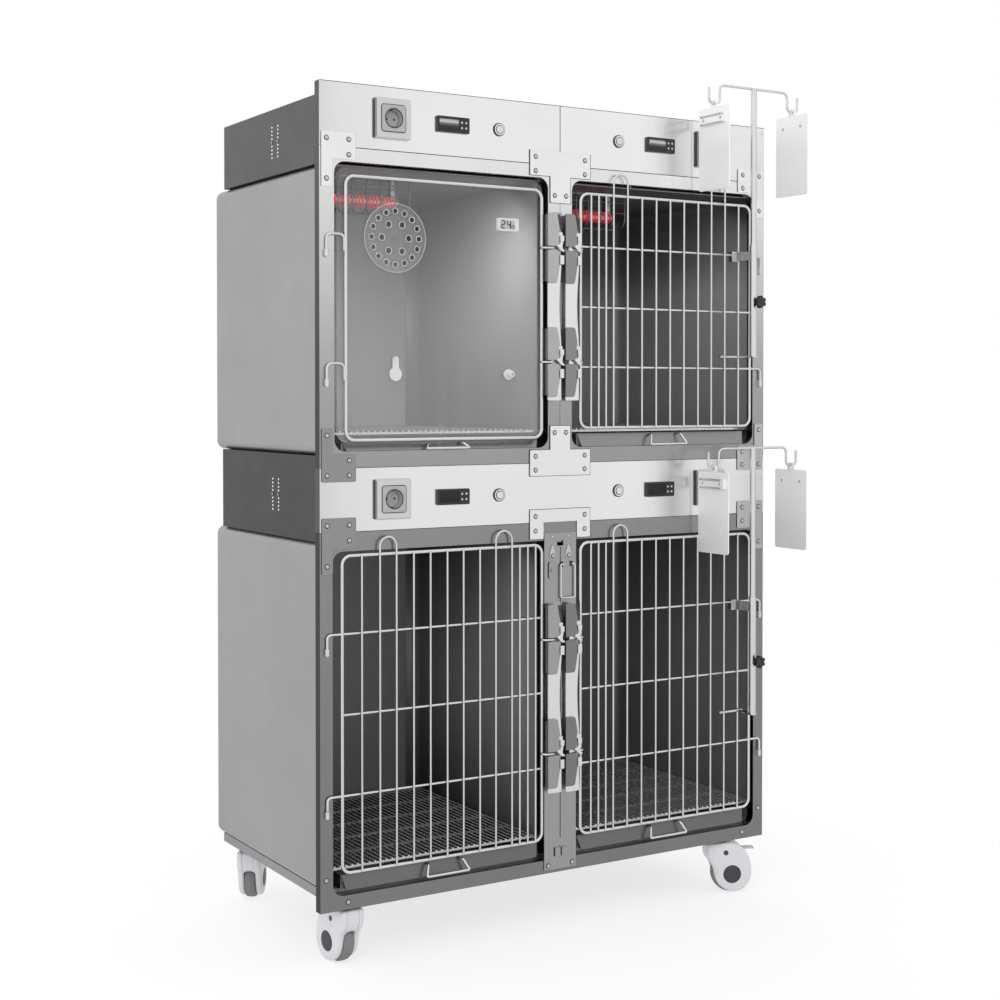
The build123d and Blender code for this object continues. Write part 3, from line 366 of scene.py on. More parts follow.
# painted light and shade by height
metal("satin_divider", base=0.38, height_shading=DIVIDER_HEIGHT_SHADING, **INTERIOR)
metal("cell_liner", base=0.34, height_shading=LINER_HEIGHT_SHADING, **INTERIOR)  # spare: no part wears it
metal("satin_board", base=0.90, rough=0.42, grain=(140, 140, 5), streaks=0.015, cloud=0.03,
      bump=0.02, edge_wear_and_light_tone=0.25, edge_wear_and_light=0.7, metallic=0.3)
# painted shade on left-facing faces, dark edge lines
metal("post_steel", base=0.42, rough=0.26, grain=(160, 160, 3), streaks=0.03, cloud=0.05,
      bump=0.03, edge_wear_and_light_tone=0.08, edge_wear_and_light=0.7, left_shading=0.2)
# painted light: the upper box lighter than the lower one
metal("dark_box_paint", base=0.075, rough=0.40, grain=(300, 300, 300), streaks=0.04, cloud=0.08,
      bump=0.05, edge_wear_and_light=0.35, metallic=0.6,
      height_shading=[(0.9, 0.6), (1.2, 0.62), (1.6, 1.2), (1.9, 1.25)])
# painted shade on faces seen edge-on
metal("chrome_wire", base=0.80, rough=0.20, streaks=0.03, cloud=0.05, edge_on_shading=0.10, **WIRE)
metal("grate_wire", base=0.85, rough=0.25, streaks=0.05, cloud=0.06, edge_on_shading=0.15,
      metallic=0.7, **WIRE)
metal("guard_wire", base=0.22, rough=0.30, streaks=0.05, cloud=0.06, edge_on_shading=0.3, **WIRE)
# painted shade: matte mid-grey for the strip in the gap between the latches
plastic("latch_gap_shade_strip", (0.42, 0.42, 0.425), rough=0.5, peel=0.04, peel_scale=300, drift=0.05,
        edge_wear_and_light=0.1)
# bright plates: edges painted darker as dark edge lines
metal("bright_plate", base=0.88, rough=0.22, grain=(120, 120, 4), streaks=0.010, cloud=0.03,
      bump=0.015, edge_wear_and_light_tone=0.25, edge_wear_and_light=0.8)
# lit and shaded copies of one housing material: left housings painted lighter, right ones darker,
# with painted shade by height and on left-facing faces
metal("latch_housing_left", base=0.56, cloud=0.06, edge_wear_and_light_tone=0.12, left_shading=0.6, **HOUSING)
metal("latch_housing_right", base=0.34, cloud=0.10, edge_wear_and_light_tone=0.06, left_shading=0.8, **HOUSING)
# painted shade on faces seen edge-on
metal("rivet_steel", base=0.62, rough=0.18, grain=(200, 200, 200), streaks=0.04, cloud=0.04,
      bump=0.02, edge=0, edge_on_shading=0.08)
# painted light: upper trays lighter than the lower ones, edges painted lighter
metal("tray_steel", base=0.30, rough=0.30, grain=(3, 160, 160), streaks=0.02, cloud=0.05,
      bump=0.02, edge_wear_and_light_tone=0.7, edge_wear_and_light=0.8, height_shading=[(0.1, 0.6), (0.9, 0.62), (1.1, 1.05)])
metal("base_rail", base=0.38, rough=0.36, grain=(3, 120, 120), streaks=0.03, cloud=0.08,
      bump=0.03)
plastic("white_moulding", (0.60, 0.60, 0.63), rough=0.28, peel=0.04, peel_scale=500, drift=0.02,
        coat=0.35, edge_wear_and_light=0.1)
plastic("white_fitting", (0.58, 0.58, 0.575), rough=0.34, peel=0.04, peel_scale=700, drift=0.02,
        edge_wear_and_light=0.1)
# painted shadow on the left-facing side of the plate
plastic("socket_plate", (0.50, 0.50, 0.495), rough=0.34, peel=0.04, peel_scale=700, drift=0.02,
        edge_wear_and_light=0.1, left_shading=0.012)
plastic("socket_grey", (0.46, 0.46, 0.47), rough=0.36, peel=0.06, peel_scale=700, drift=0.03,
        coat=0.1)
plastic("bright_eyelet", (0.88, 0.88, 0.88), rough=0.3, peel=0.02, peel_scale=500, drift=0.02,
        coat=0.2)
plastic("moulded_rim", (0.52, 0.52, 0.52), rough=0.3, peel=0.02, peel_scale=500, drift=0.03,
        coat=0.2)
plastic("socket_insert_grey", (0.36, 0.36, 0.365), rough=0.34, peel=0.05, peel_scale=700,
        drift=0.03, coat=0.1)
plastic("socket_well_grey", (0.42, 0.42, 0.425), rough=0.40, peel=0.05, peel_scale=700,
        drift=0.03, coat=0.1)
# dark caps; the same material also paints shade: rivet rings, chamfer plates, button rings and
# shadow lines
plastic("dark_cap_and_shade", (0.035, 0.035, 0.038), rough=0.42, peel=0.10, peel_scale=700, drift=0.10)
plastic("black_knob", (0.012, 0.012, 0.013), rough=0.30, peel=0.12, peel_scale=900, drift=0.15)
# painted glint band by height
metal("gloss_dark_window", base=0.30, rough=0.12, grain=(200, 200, 3), streaks=0.02, cloud=0.05,
      bump=0.0, edge=0, metallic=0.9, height_shading=WINDOW_PAINTED_GLINT)
plastic("rubber_tread", (0.17, 0.17, 0.175), rough=0.62, peel=0.45, peel_scale=420, drift=0.12,
        dirt=0.05)
plastic("lcd_face", (0.40, 0.41, 0.40), rough=0.16, peel=0.01, peel_scale=300, drift=0.03,
        coat=0.4)
clear_panel()
infrared_glow()
metal("lamp_reflector", base=0.55, rough=0.25, grain=(60, 200, 200), streaks=0.06, cloud=0.08,
      bump=0.04)

# ------------------------------------------------------------------ materials of loaded pieces
NODE_MATERIALS = {
    "fascia_panels": "polished_fascia", "gusset_plates": "polished_gusset",
    "upper_front_frames": "brushed_frame", "lower_front_frame": "brushed_frame_low",
    "upper_cage_shell": "satin_upper_shell", "lower_cage_shell": "satin_lower_shell",
    "cage_dividers": "satin_divider", "electrics_boxes": "dark_box_paint",
    "base_frame": "base_rail", "rivets": "rivet_steel", "latch_housings": "latch_housing_left",
    "centre_post": "post_steel", "floor_grates": "grate_wire", "power_sockets": "socket_plate",
    "temperature_controllers": "black_knob", "button_bezels": "bright_plate",
    "cell_lamps": "lamp_reflector", "lamp_guards": "guard_wire", "glass_panel": "clear_panel",
    "panel_fittings": "white_fitting", "vent_shutter": "clear_panel",
    "port_cover": "white_fitting",
}
PREFIX_MATERIALS = {
    "caster_": "white_moulding", "wheel_": "rubber_tread", "brake_pedal": "socket_grey",
    "latch_plate": "bright_plate", "push_button": "bright_plate", "pole_knob": "black_knob",
    "clipboard": "satin_board", "tray_": "tray_steel",
}


def node_material(name):
    if name in NODE_MATERIALS:
        return NODE_MATERIALS[name]
    if name.startswith("push_button") and "upper" in name:
        return "white_fitting"
    for prefix, material in PREFIX_MATERIALS.items():
        if name.startswith(prefix):
            return material
    return "chrome_wire"


for name in NODES:
    material = MATERIALS[node_material(name)]
    node = NODES[name]
    if not node.material_slots:
        node.data.materials.append(material)
    for slot in node.material_slots:
        slot.material = material


# --------------------------------------------------------------- mesh helpers
def piece(name, build, material, body="root", args=(), place=None, smooth=True, bevel=0.0):
    """Makes an object from build(mesh, *args), optionally moved by the matrix place."""
    mesh = bmesh.new()
    build(mesh, *args)
    if place:
        bmesh.ops.transform(mesh, matrix=place, verts=mesh.verts)
    bmesh.ops.recalc_face_normals(mesh, faces=mesh.faces)
    data = bpy.data.meshes.new(name)
    mesh.to_mesh(data)
    mesh.free()
    made = bpy.data.objects.new(name, data)
    scene.collection.objects.link(made)
    data.materials.append(MATERIALS[material])
    if smooth:
        for polygon in data.polygons:
            polygon.use_smooth = True
    if bevel:
        modifier = made.modifiers.new("soft", "BEVEL")
        modifier.width = bevel
        modifier.segments = 2
        modifier.limit_method = "ANGLE"
        modifier.angle_limit = math.radians(35)
        modifier.harden_normals = True
    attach(made, body)
    return made


def bridge(mesh, rings):
    """Joins each closed ring of vertices to the next with quads."""
    for ring, following in zip(rings, rings[1:]):
        for k in range(len(ring)):
            j = (k + 1) % len(ring)
            mesh.faces.new((ring[k], ring[j], following[j], following[k]))


def add_ring(mesh, centre, across, up, radius, segments):
    angles = [2 * math.pi * k / segments for k in range(segments)]
    return [mesh.verts.new(centre + (across * math.cos(a) + up * math.sin(a)) * radius)
            for a in angles]


def add_lathe(mesh, profile, origin, axis, segments):
    """Revolves (radius, along) pairs about an axis; the ends close at radius 0."""
    axis = Vector(axis).normalized()
    across = axis.orthogonal().normalized()
    up = axis.cross(across)
    origin = Vector(origin)
    rings = []
    for radius, along in profile:
        centre = origin + axis * along
        if radius < 1e-9:
            rings.append([mesh.verts.new(centre)])
        else:
            rings.append(add_ring(mesh, centre, across, up, radius, segments))
    for a, b in zip(rings, rings[1:]):
        if len(a) == 1 and len(b) == 1:
            continue
        for k in range(segments):
            j = (k + 1) % segments
            if len(a) == 1:
                mesh.faces.new((a[0], b[k], b[j]))
            elif len(b) == 1:
                mesh.faces.new((a[k], b[0], a[j]))
            else:
                mesh.faces.new((a[k], b[k], b[j], a[j]))


def add_tube(mesh, points, radius, segments, closed=False):
    """A round wire along points, with parallel-transported rings."""
    points = [Vector(p) for p in points]
    count = len(points)
    tangents = []
    for i in range(count):
        before = points[i - 1] if (i > 0 or closed) else points[i]
        after = points[(i + 1) % count] if (i < count - 1 or closed) else points[i]
        tangents.append((after - before).normalized())
    across = tangents[0].orthogonal().normalized()
    rings = []
    for point, tangent in zip(points, tangents):
        across = (across - tangent * across.dot(tangent)).normalized()
        rings.append(add_ring(mesh, point, across, tangent.cross(across), radius, segments))
    bridge(mesh, rings + rings[:1] if closed else rings)
    if not closed:
        mesh.faces.new(rings[0][::-1])
        mesh.faces.new(rings[-1])


def add_slab(mesh, outline, front, back, round_over=0.0):
    """A plate from an (x, z) outline between two y values, its front edge rounded over."""
    corners = [Vector(p) for p in outline]
    count = len(corners)
    area = sum(a.x * b.y - b.x * a.y for a, b in zip(corners, corners[1:] + corners[:1]))
    turn = 1.0 if area > 0 else -1.0
    outward = []
    for i in range(count):
        edge = corners[(i + 1) % count] - corners[i - 1]
        outward.append(Vector((edge.y, -edge.x)).normalized() * turn)
    levels = [(back, 0.0)]  # (y, inset)
    if round_over > 0:
        steps = 3
        for k in range(steps + 1):
            angle = math.pi / 2 * k / steps
            levels.append((front + round_over * (1 - math.sin(angle)),
                           round_over * (1 - math.cos(angle))))
    else:
        levels.append((front, 0.0))
    rings = [[mesh.verts.new((p.x - n.x * inset, y, p.y - n.y * inset))
              for p, n in zip(corners, outward)] for y, inset in levels]
    bridge(mesh, rings)
    mesh.faces.new(rings[0])
    mesh.faces.new(rings[-1][::-1])


def rectangle(x0, x1, z0, z1):
    return [(x0, z0), (x1, z0), (x1, z1), (x0, z1)]


def rounded_rectangle(x0, x1, z0, z1, radius):
    steps = 3
    corners = ((x1 - radius, z1 - radius, 0), (x0 + radius, z1 - radius, 90),
               (x0 + radius, z0 + radius, 180), (x1 - radius, z0 + radius, 270))
    outline = []
    for x, z, start in corners:
        for i in range(steps + 1):
            angle = math.radians(start + 90 * i / steps)
            outline.append((x + radius * math.cos(angle), z + radius * math.sin(angle)))
    return outline


def circle(x, z, radius, segments, phase=0.0):
    angles = [2 * math.pi * (k + phase) / segments for k in range(segments)]
    return [(x + radius * math.cos(a), z + radius * math.sin(a)) for a in angles]


def add_seam(mesh, points, y, radius, closed=False):
    """A thin line through (x, z) points in the plane at y."""
    add_tube(mesh, [(x, y, z) for x, z in points], radius, 6, closed)


# ------------------------------------------------------------------ casters
# Caster frame: swivel axis at x = y = 0, wheel trailing along +X, ground at z = 0
CASTERS = {  # x, y, swivel angle in degrees
    "front_left": (-0.532, 0.034, 96.0), "front_right": (0.490, 0.034, -25.0),
    "rear_left": (-0.532, 0.566, 58.0), "rear_right": (0.490, 0.566, 20.0)}
WHEEL_OFFSET, WHEEL_RADIUS = 0.034, 0.048
HUB = (WHEEL_OFFSET, 0, WHEEL_RADIUS)
SHELL_HALF_WIDTH = 0.0150
SHELL_INNER_RADIUS = 0.0502

# Side view of the hood in (along, up): neck, back of the hood, foot, tread cut-away
HOOD_CONTROLS = [
    (-0.0275, 0.1235), (0.000, 0.1248), (0.030, 0.1245), (0.046, 0.1215), (0.060, 0.113),
    (0.073, 0.098), (0.081, 0.080), (0.0845, 0.060), (0.0835, 0.042), (0.077, 0.024),
    (0.065, 0.0105), (0.050, 0.0045), (0.034, 0.0035), (0.016, 0.0095), (0.0010, 0.022),
    (-0.0070, 0.038), (-0.0105, 0.054), (-0.0140, 0.066), (-0.0195, 0.076), (-0.0260, 0.085),
    (-0.0290, 0.096), (-0.0294, 0.110)]
# (distance from the middle plane, inset towards the cheek's centre)
CHEEK_LEVELS = [(0.0146, 0.0), (0.0200, 0.0), (0.0236, 0.0007), (0.0262, 0.0024),
                (0.0280, 0.0052), (0.0290, 0.0095)]
# (share of the way in to the centre, distance from the middle plane)
CHEEK_CROWN = ((0.27, 0.0296), (0.558, 0.0300))


def smooth_outline(controls):
    """Three points per span of a closed Catmull-Rom curve."""
    count = len(controls)
    outline = []
    for i in range(count):
        p0, p1, p2, p3 = (Vector(controls[(i + step) % count]) for step in (-1, 0, 1, 2))
        for k in range(3):
            t = k / 3.0
            outline.append(0.5 * (2 * p1 + (-p0 + p2) * t + (2 * p0 - 5 * p1 + 4 * p2 - p3) * t * t
                                  + (-p0 + 3 * p1 - 3 * p2 + p3) * t ** 3))
    return outline


HOOD_OUTLINE = smooth_outline(HOOD_CONTROLS)


def add_cheek(mesh, side):
    """One moulded half: a crowned outside face and a flat inside face that clears the wheel."""
    centre = Vector((WHEEL_OFFSET + 0.002, 0.066))
    inward = [(centre - p).normalized() for p in HOOD_OUTLINE]
    rings = [[mesh.verts.new((p.x + n.x * inset, side * width, p.y + n.y * inset))
              for p, n in zip(HOOD_OUTLINE, inward)] for width, inset in CHEEK_LEVELS]
    bridge(mesh, rings)
    mesh.faces.new(rings[0])
    edge = rings[-1]
    last = edge
    for share, width in CHEEK_CROWN:
        ring = [mesh.verts.new((v.co.x + (centre.x - v.co.x) * share, side * width,
                                v.co.z + (centre.y - v.co.z) * share)) for v in edge]
        bridge(mesh, [last, ring])
        last = ring
    tip = mesh.verts.new((centre.x, side * 0.0301, centre.y))
    for k in range(len(last)):
        mesh.faces.new((last[k], last[(k + 1) % len(last)], tip))


def hood_reach(angle):
    """Distance from the wheel's middle to the hood outline at an angle."""
    dx, dz = math.cos(angle), math.sin(angle)
    reach = 0.0
    for start, end in zip(HOOD_OUTLINE, HOOD_OUTLINE[1:] + HOOD_OUTLINE[:1]):
        ax, az = start.x - WHEEL_OFFSET, start.y - WHEEL_RADIUS
        ex, ez = end.x - WHEEL_OFFSET - ax, end.y - WHEEL_RADIUS - az
        cross = dx * ez - dz * ex
        if abs(cross) < 1e-12:
            continue
        distance = (ax * ez - az * ex) / cross
        along = (ax * dz - az * dx) / cross
        if distance > 0 and -1e-6 <= along <= 1 + 1e-6:
            reach = max(reach, distance)
    return reach


def add_hood_shell(mesh):
    """Shell over the wheel, from cheek to cheek, ending in arched edges."""
    columns, rows = 12, 40
    outer, inner = [], []
    for i in range(columns + 1):
        width = -SHELL_HALF_WIDTH + 2 * SHELL_HALF_WIDTH * i / columns
        arch = 1 - math.sqrt(max(0.0, 1 - (width / SHELL_HALF_WIDTH) ** 2))
        start, end = math.radians(151.0 + 7.0 * arch), math.radians(32.0 - 17.0 * arch)
        outer.append([])
        inner.append([])
        for k in range(rows + 1):
            angle = start + (end - start) * k / rows
            # a little under the cheeks, but never thinner than 1 mm
            radius = max(hood_reach(angle) - 0.0002, SHELL_INNER_RADIUS + 0.001)
            for column, r in ((outer[i], radius), (inner[i], SHELL_INNER_RADIUS)):
                column.append(mesh.verts.new((WHEEL_OFFSET + r * math.cos(angle), width,
                                              WHEEL_RADIUS + r * math.sin(angle))))
    for i in range(columns):
        out, out_next, inn, inn_next = outer[i], outer[i + 1], inner[i], inner[i + 1]
        for k in range(rows):
            mesh.faces.new((out[k], out[k + 1], out_next[k + 1], out_next[k]))
            mesh.faces.new((inn[k], inn_next[k], inn_next[k + 1], inn[k + 1]))
        mesh.faces.new((out[0], out_next[0], inn_next[0], inn[0]))
        mesh.faces.new((out[rows], inn[rows], inn_next[rows], out_next[rows]))
    for i in (0, columns):
        for k in range(rows):
            mesh.faces.new((outer[i][k], inner[i][k], inner[i][k + 1], outer[i][k + 1]))


def caster_hood(mesh):
    add_cheek(mesh, 1)
    add_cheek(mesh, -1)
    add_hood_shell(mesh)


def caster_caps(mesh):
    """A large cap over each wheel side and a small one at each side of the neck."""
    for side in (1, -1):
        add_lathe(mesh, [(0.0, 0.0309), (0.015, 0.0309), (0.0205, 0.0307), (0.0222, 0.0302),
                         (0.0228, 0.0294), (0.0229, 0.0270), (0.0, 0.0270)],
                  HUB, (0, side, 0), 48)
        add_lathe(mesh, [(0.0, 0.0300), (0.0055, 0.0299), (0.0068, 0.0295), (0.0069, 0.0260),
                         (0.0, 0.0260)], (0.018, 0, 0.1005), (0, side, 0), 28)


def caster_collar(mesh):
    add_lathe(mesh, [(0.0, 0.1250), (0.0215, 0.1250), (0.0225, 0.1243), (0.0225, 0.1236),
                     (0.0075, 0.1232), (0.0075, 0.1500), (0.0, 0.1500)], (0, 0, 0), (0, 0, 1), 40)


def caster_axle(mesh):
    add_lathe(mesh, [(0.0, -0.0265), (0.0039, -0.0262), (0.0039, 0.0262), (0.0, 0.0265)],
              HUB, BACKWARD, 20)


def caster_tyre(mesh):
    """Rounded tread with a fine groove each side of the crown and a hub set in."""
    rim, half = WHEEL_RADIUS, 0.0130
    half_profile = [(0.0042, 0.0125), (0.030, 0.0125), (0.0325, half), (rim - 0.0055, half),
                    (rim - 0.0022, 0.0115), (rim - 0.0006, 0.0085), (rim - 0.0012, 0.0072),
                    (rim - 0.0003, 0.0058)]
    profile = ([(r, -y) for r, y in half_profile] + [(rim, 0.0)] + half_profile[::-1]
               + [(0.0042, -0.0125)])
    add_lathe(mesh, profile, HUB, BACKWARD, 72)
    bmesh.ops.remove_doubles(mesh, verts=mesh.verts, dist=1e-6)


for corner, (x, y, angle) in CASTERS.items():
    swivel = "swivel_" + corner
    place = Matrix.Translation((x, y, 0)) @ Matrix.Rotation(math.radians(angle), 4, "Z")
    hood = piece("caster_hood_" + corner, caster_hood, "white_moulding", swivel,
                 place=place)
    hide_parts("caster_" + corner)
    piece("caster_caps_" + corner, caster_caps, "dark_cap_and_shade", swivel, place=place)
    piece("caster_collar_" + corner, caster_collar, "dark_cap_and_shade", swivel,
          place=place)
    piece("caster_axle_" + corner, caster_axle, "rivet_steel", swivel, place=place)
    tyre = piece("caster_tyre_" + corner, caster_tyre, "rubber_tread",
                 "roller_" + corner, place=place)
    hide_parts("wheel_" + corner)

# ------------------------------------------------------------------ latches
# All latch sizes are in millimetres. Outlines are (x from the latch's left edge, z from a pin).
LATCHES = {  # left edge x, upper pin z, lower pin z, y of the mounting face, foot z
    "upper_left": (-47.5, 1570.7, 1310.2, 0.0, 1222.0),
    "upper_right": (1.5, 1570.7, 1310.2, 0.0, 1222.0),
    "lower_left": (-47.5, 673.9, 411.2, -2.0, 319.0),
    "lower_right": (1.5, 673.9, 411.2, -2.0, 317.0)}
SLIDE_LEFT, SLIDE_RIGHT = 3.6, 41.0   # edges of the sliding plate
SLIDE_WAIST = 5.2                     # how far its right edge curves in half way up
SLIDE_DEPTH, JOIN_DEPTH = (-15.8, -12.9), (-15.6, -13.1)

# Plates are (outline, front y, back y, edge rounding), y from the mounting face
HOUSING_PLATES = [
    # covers above and below the pin
    ([(0, 4.2), (0, 76), (1.2, 79), (4, 80), (22, 80), (25.5, 78.4), (27.5, 75), (33.2, 45),
      (33.2, 41), (31, 39), (31, 4.2)], -22.0, -16.5, 1.6),
    ([(0, -4.2), (31, -4.2), (31, -36), (33, -38), (32.5, -42), (26.5, -75), (24.5, -78.6),
      (21, -80), (4, -80), (1.2, -79), (0, -76)], -22.0, -16.5, 1.6),
    # side walls
    (rectangle(0, 2.2, 4.2, 76), -16.6, -0.2, 0.0),
    (rectangle(0, 2.2, -76, -4.2), -16.6, -0.2, 0.0),
    # blocks behind the sliding plate
    ([(2.1, -72), (43, -46), (43, -6), (2.1, -6)], -10.5, -0.2, 0.0),
    ([(2.1, 6), (43, 6), (43, 46), (2.1, 72)], -10.5, -0.2, 0.0)]
# near-black plate on the upper chamfer: painted shade
BEVEL_SHADE_PLATES = [([(28.6, 74.5), (31, 78), (34.5, 76), (40.5, 45), (40.5, 42.5), (34.4, 42.5)],
                 -20.5, -16.7, 0.6)]


def tab_outline(low, high):
    return [(33.8, low + 1), (34.6, low), (43.6, low), (44.8, low + 1.2),
            (44.8, high - 1.2), (43.6, high), (34.6, high), (33.8, high - 1)]


PIN_PLATES = [
    # folded tabs above and below the pin
    (tab_outline(16, 29.5), -22.4, -15.4, 1.0),
    (tab_outline(29.0, 37.5), -16.1, -13.1, 1.0),
    (tab_outline(-37, -15.5), -22.4, -15.4, 1.0),
    # forked catch
    ([(24, 3), (27, 1.5), (31, -3), (36, -7), (43, -9), (44.5, -5), (39, -1), (38.2, 4),
      (40.6, 14), (39.4, 18), (36, 18.4), (33.6, 15), (31.8, 9), (26, 8.6), (23.6, 6.4)],
     -25.2, -22.15, 1.4)]
NOSE_X = {"left": (-10.5, -8.5, -4.5, 4.0, 25.0), "right": (54.5, 52.5, 49.0, 46.5, 30.0)}


def add_plates(mesh, plates, x, y, z):
    """Adds millimetre plates about the point (x, y, z), also in millimetres."""
    for outline, front, back, round_over in plates:
        add_slab(mesh, [((x + across) / 1000, (z + up) / 1000) for across, up in outline],
                 (y + front) / 1000, (y + back) / 1000, round_over / 1000)


def latch_housing(mesh, left, upper_pin, lower_pin, face, foot):
    for pin in (upper_pin, lower_pin):
        add_plates(mesh, HOUSING_PLATES, left, face, pin)


# the chamfer plate wears the dark material as painted shade
def latch_bevel_shade(mesh, left, upper_pin, lower_pin, face, foot):
    add_plates(mesh, BEVEL_SHADE_PLATES, left, face, upper_pin)


def latch_slide(mesh, left, upper_pin, lower_pin, face, foot):
    top, bottom = upper_pin - 38, lower_pin + 38
    waist = []
    for k in range(25):
        share = k / 24
        dip = SLIDE_WAIST * math.sin(math.pi * share) ** 1.4
        waist.append((SLIDE_RIGHT - dip, top + (bottom - top) * share))
    run = [(SLIDE_LEFT, top)] + waist + [(SLIDE_LEFT, bottom)]
    foot_outline = [
        (SLIDE_LEFT, foot + 3), (SLIDE_LEFT + 0.9, foot + 0.9), (SLIDE_LEFT + 3, foot),
        (SLIDE_RIGHT - 4, foot), (SLIDE_RIGHT - 1.2, foot + 1.0), (SLIDE_RIGHT, foot + 4),
        (SLIDE_RIGHT, lower_pin - 38), (SLIDE_RIGHT - 4, lower_pin - 38),
        (SLIDE_RIGHT - 8.4, lower_pin - 46), (SLIDE_RIGHT - 13, lower_pin - 74),
        (SLIDE_RIGHT - 16, lower_pin - 79), (SLIDE_LEFT, lower_pin - 79)]
    # strips that join the runs behind the covers
    joins = [rectangle(14, 35.2, upper_pin - 38.5, upper_pin + 40.5),
             rectangle(14, 35.2, lower_pin - 38.5, lower_pin + 38.5),
             [(6, lower_pin - 80), (30, lower_pin - 80), (33, lower_pin - 38),
              (14, lower_pin - 38)]]
    plates = [(run, *SLIDE_DEPTH, 0.6), (foot_outline, *SLIDE_DEPTH, 0.6)]
    plates += [(outline, *JOIN_DEPTH, 0.0) for outline in joins]
    add_plates(mesh, plates, left, face, 0)
    for pin in (upper_pin, lower_pin):
        add_plates(mesh, PIN_PLATES, left, face, pin)


def latch_noses(mesh, side, left, upper_pin, lower_pin, face, foot):
    """Visible ends of the door pins, which come forward from the door into the catch."""
    depths = (-6.0, -10.5, face - 17.2, face - 20.0, face - 20.3)
    for pin in (upper_pin, lower_pin):
        points = [((left + x) / 1000, y / 1000, pin / 1000)
                  for x, y in zip(NOSE_X[side], depths)]
        add_tube(mesh, points, 0.0026, 14)


def latch_gap_shade_strip(mesh):
    """A strip behind the gap between the left and right latches of each row; its matte mid-grey is
    painted shade for that gap.
    """
    for row in ("upper", "lower"):
        left, upper_pin, lower_pin, face, _ = LATCHES[row + "_left"]
        right = LATCHES[row + "_right"][0]
        outline = rectangle(left + 26, right + 3, lower_pin - 90, upper_pin + 84)
        add_plates(mesh, [(outline, -0.6, -0.1, 0.0)], 0, face, 0)


housings = []
for place_name, sizes in LATCHES.items():
    side = place_name.split("_")[1]
    housings.append(piece("latch_housing_" + place_name, latch_housing, "latch_housing_" + side,
                          args=sizes, smooth=False))
    # dark chamfer plate: painted shade
    piece("latch_bevel_shade_" + place_name, latch_bevel_shade, "dark_cap_and_shade", args=sizes,
          smooth=False)
    slide = piece("latch_slide_" + place_name, latch_slide, "bright_plate",
                  "latch_" + place_name, args=sizes, smooth=False)
    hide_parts("latch_plate_" + place_name)
    piece("latch_pin_nose_" + place_name, latch_noses, "chrome_wire",
          "door_" + place_name, args=(side, *sizes))
for housing in housings:
    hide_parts("latch_housings")

# ------------------------------------------------------------------- rivets
EDGE_RIVETS = [  # (distance in from the cabinet's side, z)
    (0.0164, 1.7789), (0.0689, 1.7789), (0.0689, 1.7463), (0.0164, 1.6932), (0.0164, 1.1482),
    (0.0689, 1.0946), (0.0164, 1.0629), (0.0689, 1.0629), (0.0164, 0.9565), (0.0689, 0.9565),
    (0.0689, 0.9233), (0.0164, 0.8697)]
CENTRE_RIVETS = [  # (distance from the middle line, z)
    (0.0679, 1.7789), (0.0679, 1.7463), (0.0156, 1.6932), (0.0156, 1.1482), (0.0679, 1.0946),
    (0.0679, 1.0629), (0.0679, 0.9565), (0.0679, 0.9233)]
BOTTOM_RIVETS = [(0.0140, 0.1998), (0.0660, 0.1460)]  # as EDGE_RIVETS, on the frame itself
# profile of the dark rings painted as shade round the rivet heads
RIVET_SHADOW_PROFILE = [(0.0034, 0.00002), (0.0034, 0.00022), (0.0058, 0.00016), (0.0060, 0.00002),
                (0.0034, 0.00002)]


def rivet_shadow_rings(mesh):
    """Thin dark rings around the rivets, painted shade round each rivet head."""
    for side in SIDES:
        spots = [(HALF_WIDTH - inset, -PLATE_DEPTH, z) for inset, z in EDGE_RIVETS]
        spots += [(x, -PLATE_DEPTH, z) for x, z in CENTRE_RIVETS]
        spots += [(HALF_WIDTH - inset, 0.0, z) for inset, z in BOTTOM_RIVETS]
        spots.append((0.033, -0.0025, 0.148))
        for x, y, z in spots:
            add_lathe(mesh, RIVET_SHADOW_PROFILE, (side * x, y, z), FORWARD, 28)


piece("rivet_shadow_rings", rivet_shadow_rings, "dark_cap_and_shade")


# ----------------------------------------------------------- sockets, controls
def panel_spots(distance):
    """(x, z) of a fitting on the four panels, at a distance from the middle line."""
    return [(side * distance, z) for z in PANEL_ROWS for side in SIDES]


def square_ring(x, z, half, segments):
    """Points of a rounded square at even angles about its middle."""
    corner = 0.003
    power = 9.0 + 20 * (1 - corner / half * 4)
    points = []
    for ray_x, ray_z in circle(0, 0, 1, segments, phase=0.5):
        scale = (abs(ray_x) ** power + abs(ray_z) ** power) ** (-1.0 / power)
        points.append((x + ray_x * scale * half, z + ray_z * scale * half))
    return points


def socket_inserts(mesh):
    """Square frames that turn into a round well."""
    square_levels = ((0.0285, -0.0100), (0.0285, -0.0116), (0.0279, -0.0123), (0.0262, -0.0123))
    round_levels = ((0.0208, -0.0123), (0.0203, -0.0119), (0.0198, -0.0090), (0.0192, 0.0050))
    for x, z in panel_spots(SOCKET_X):
        outlines = [(square_ring(x, z, half, 64), y) for half, y in square_levels]
        outlines += [(circle(x, z, radius, 64, phase=0.5), y) for radius, y in round_levels]
        bridge(mesh, [[mesh.verts.new((px, y, pz)) for px, pz in points]
                      for points, y in outlines])


def socket_wells(mesh):
    for x, z in panel_spots(SOCKET_X):
        add_lathe(mesh, [(0.0, 0.0050), (0.0012, 0.0052), (0.0022, 0.0060), (0.017, 0.0062),
                         (0.0190, 0.0050), (0.0191, 0.0085), (0.0, 0.0090)],
                  (x, 0, z), BACKWARD, 40)


def socket_pin_holes(mesh):
    for x, z in panel_spots(SOCKET_X):
        for side in SIDES:
            add_lathe(mesh, [(0.0, 0.0058), (0.0024, 0.0058), (0.0026, 0.0064), (0.0, 0.0066)],
                      (x + side * 0.0095, 0, z), BACKWARD, 18)


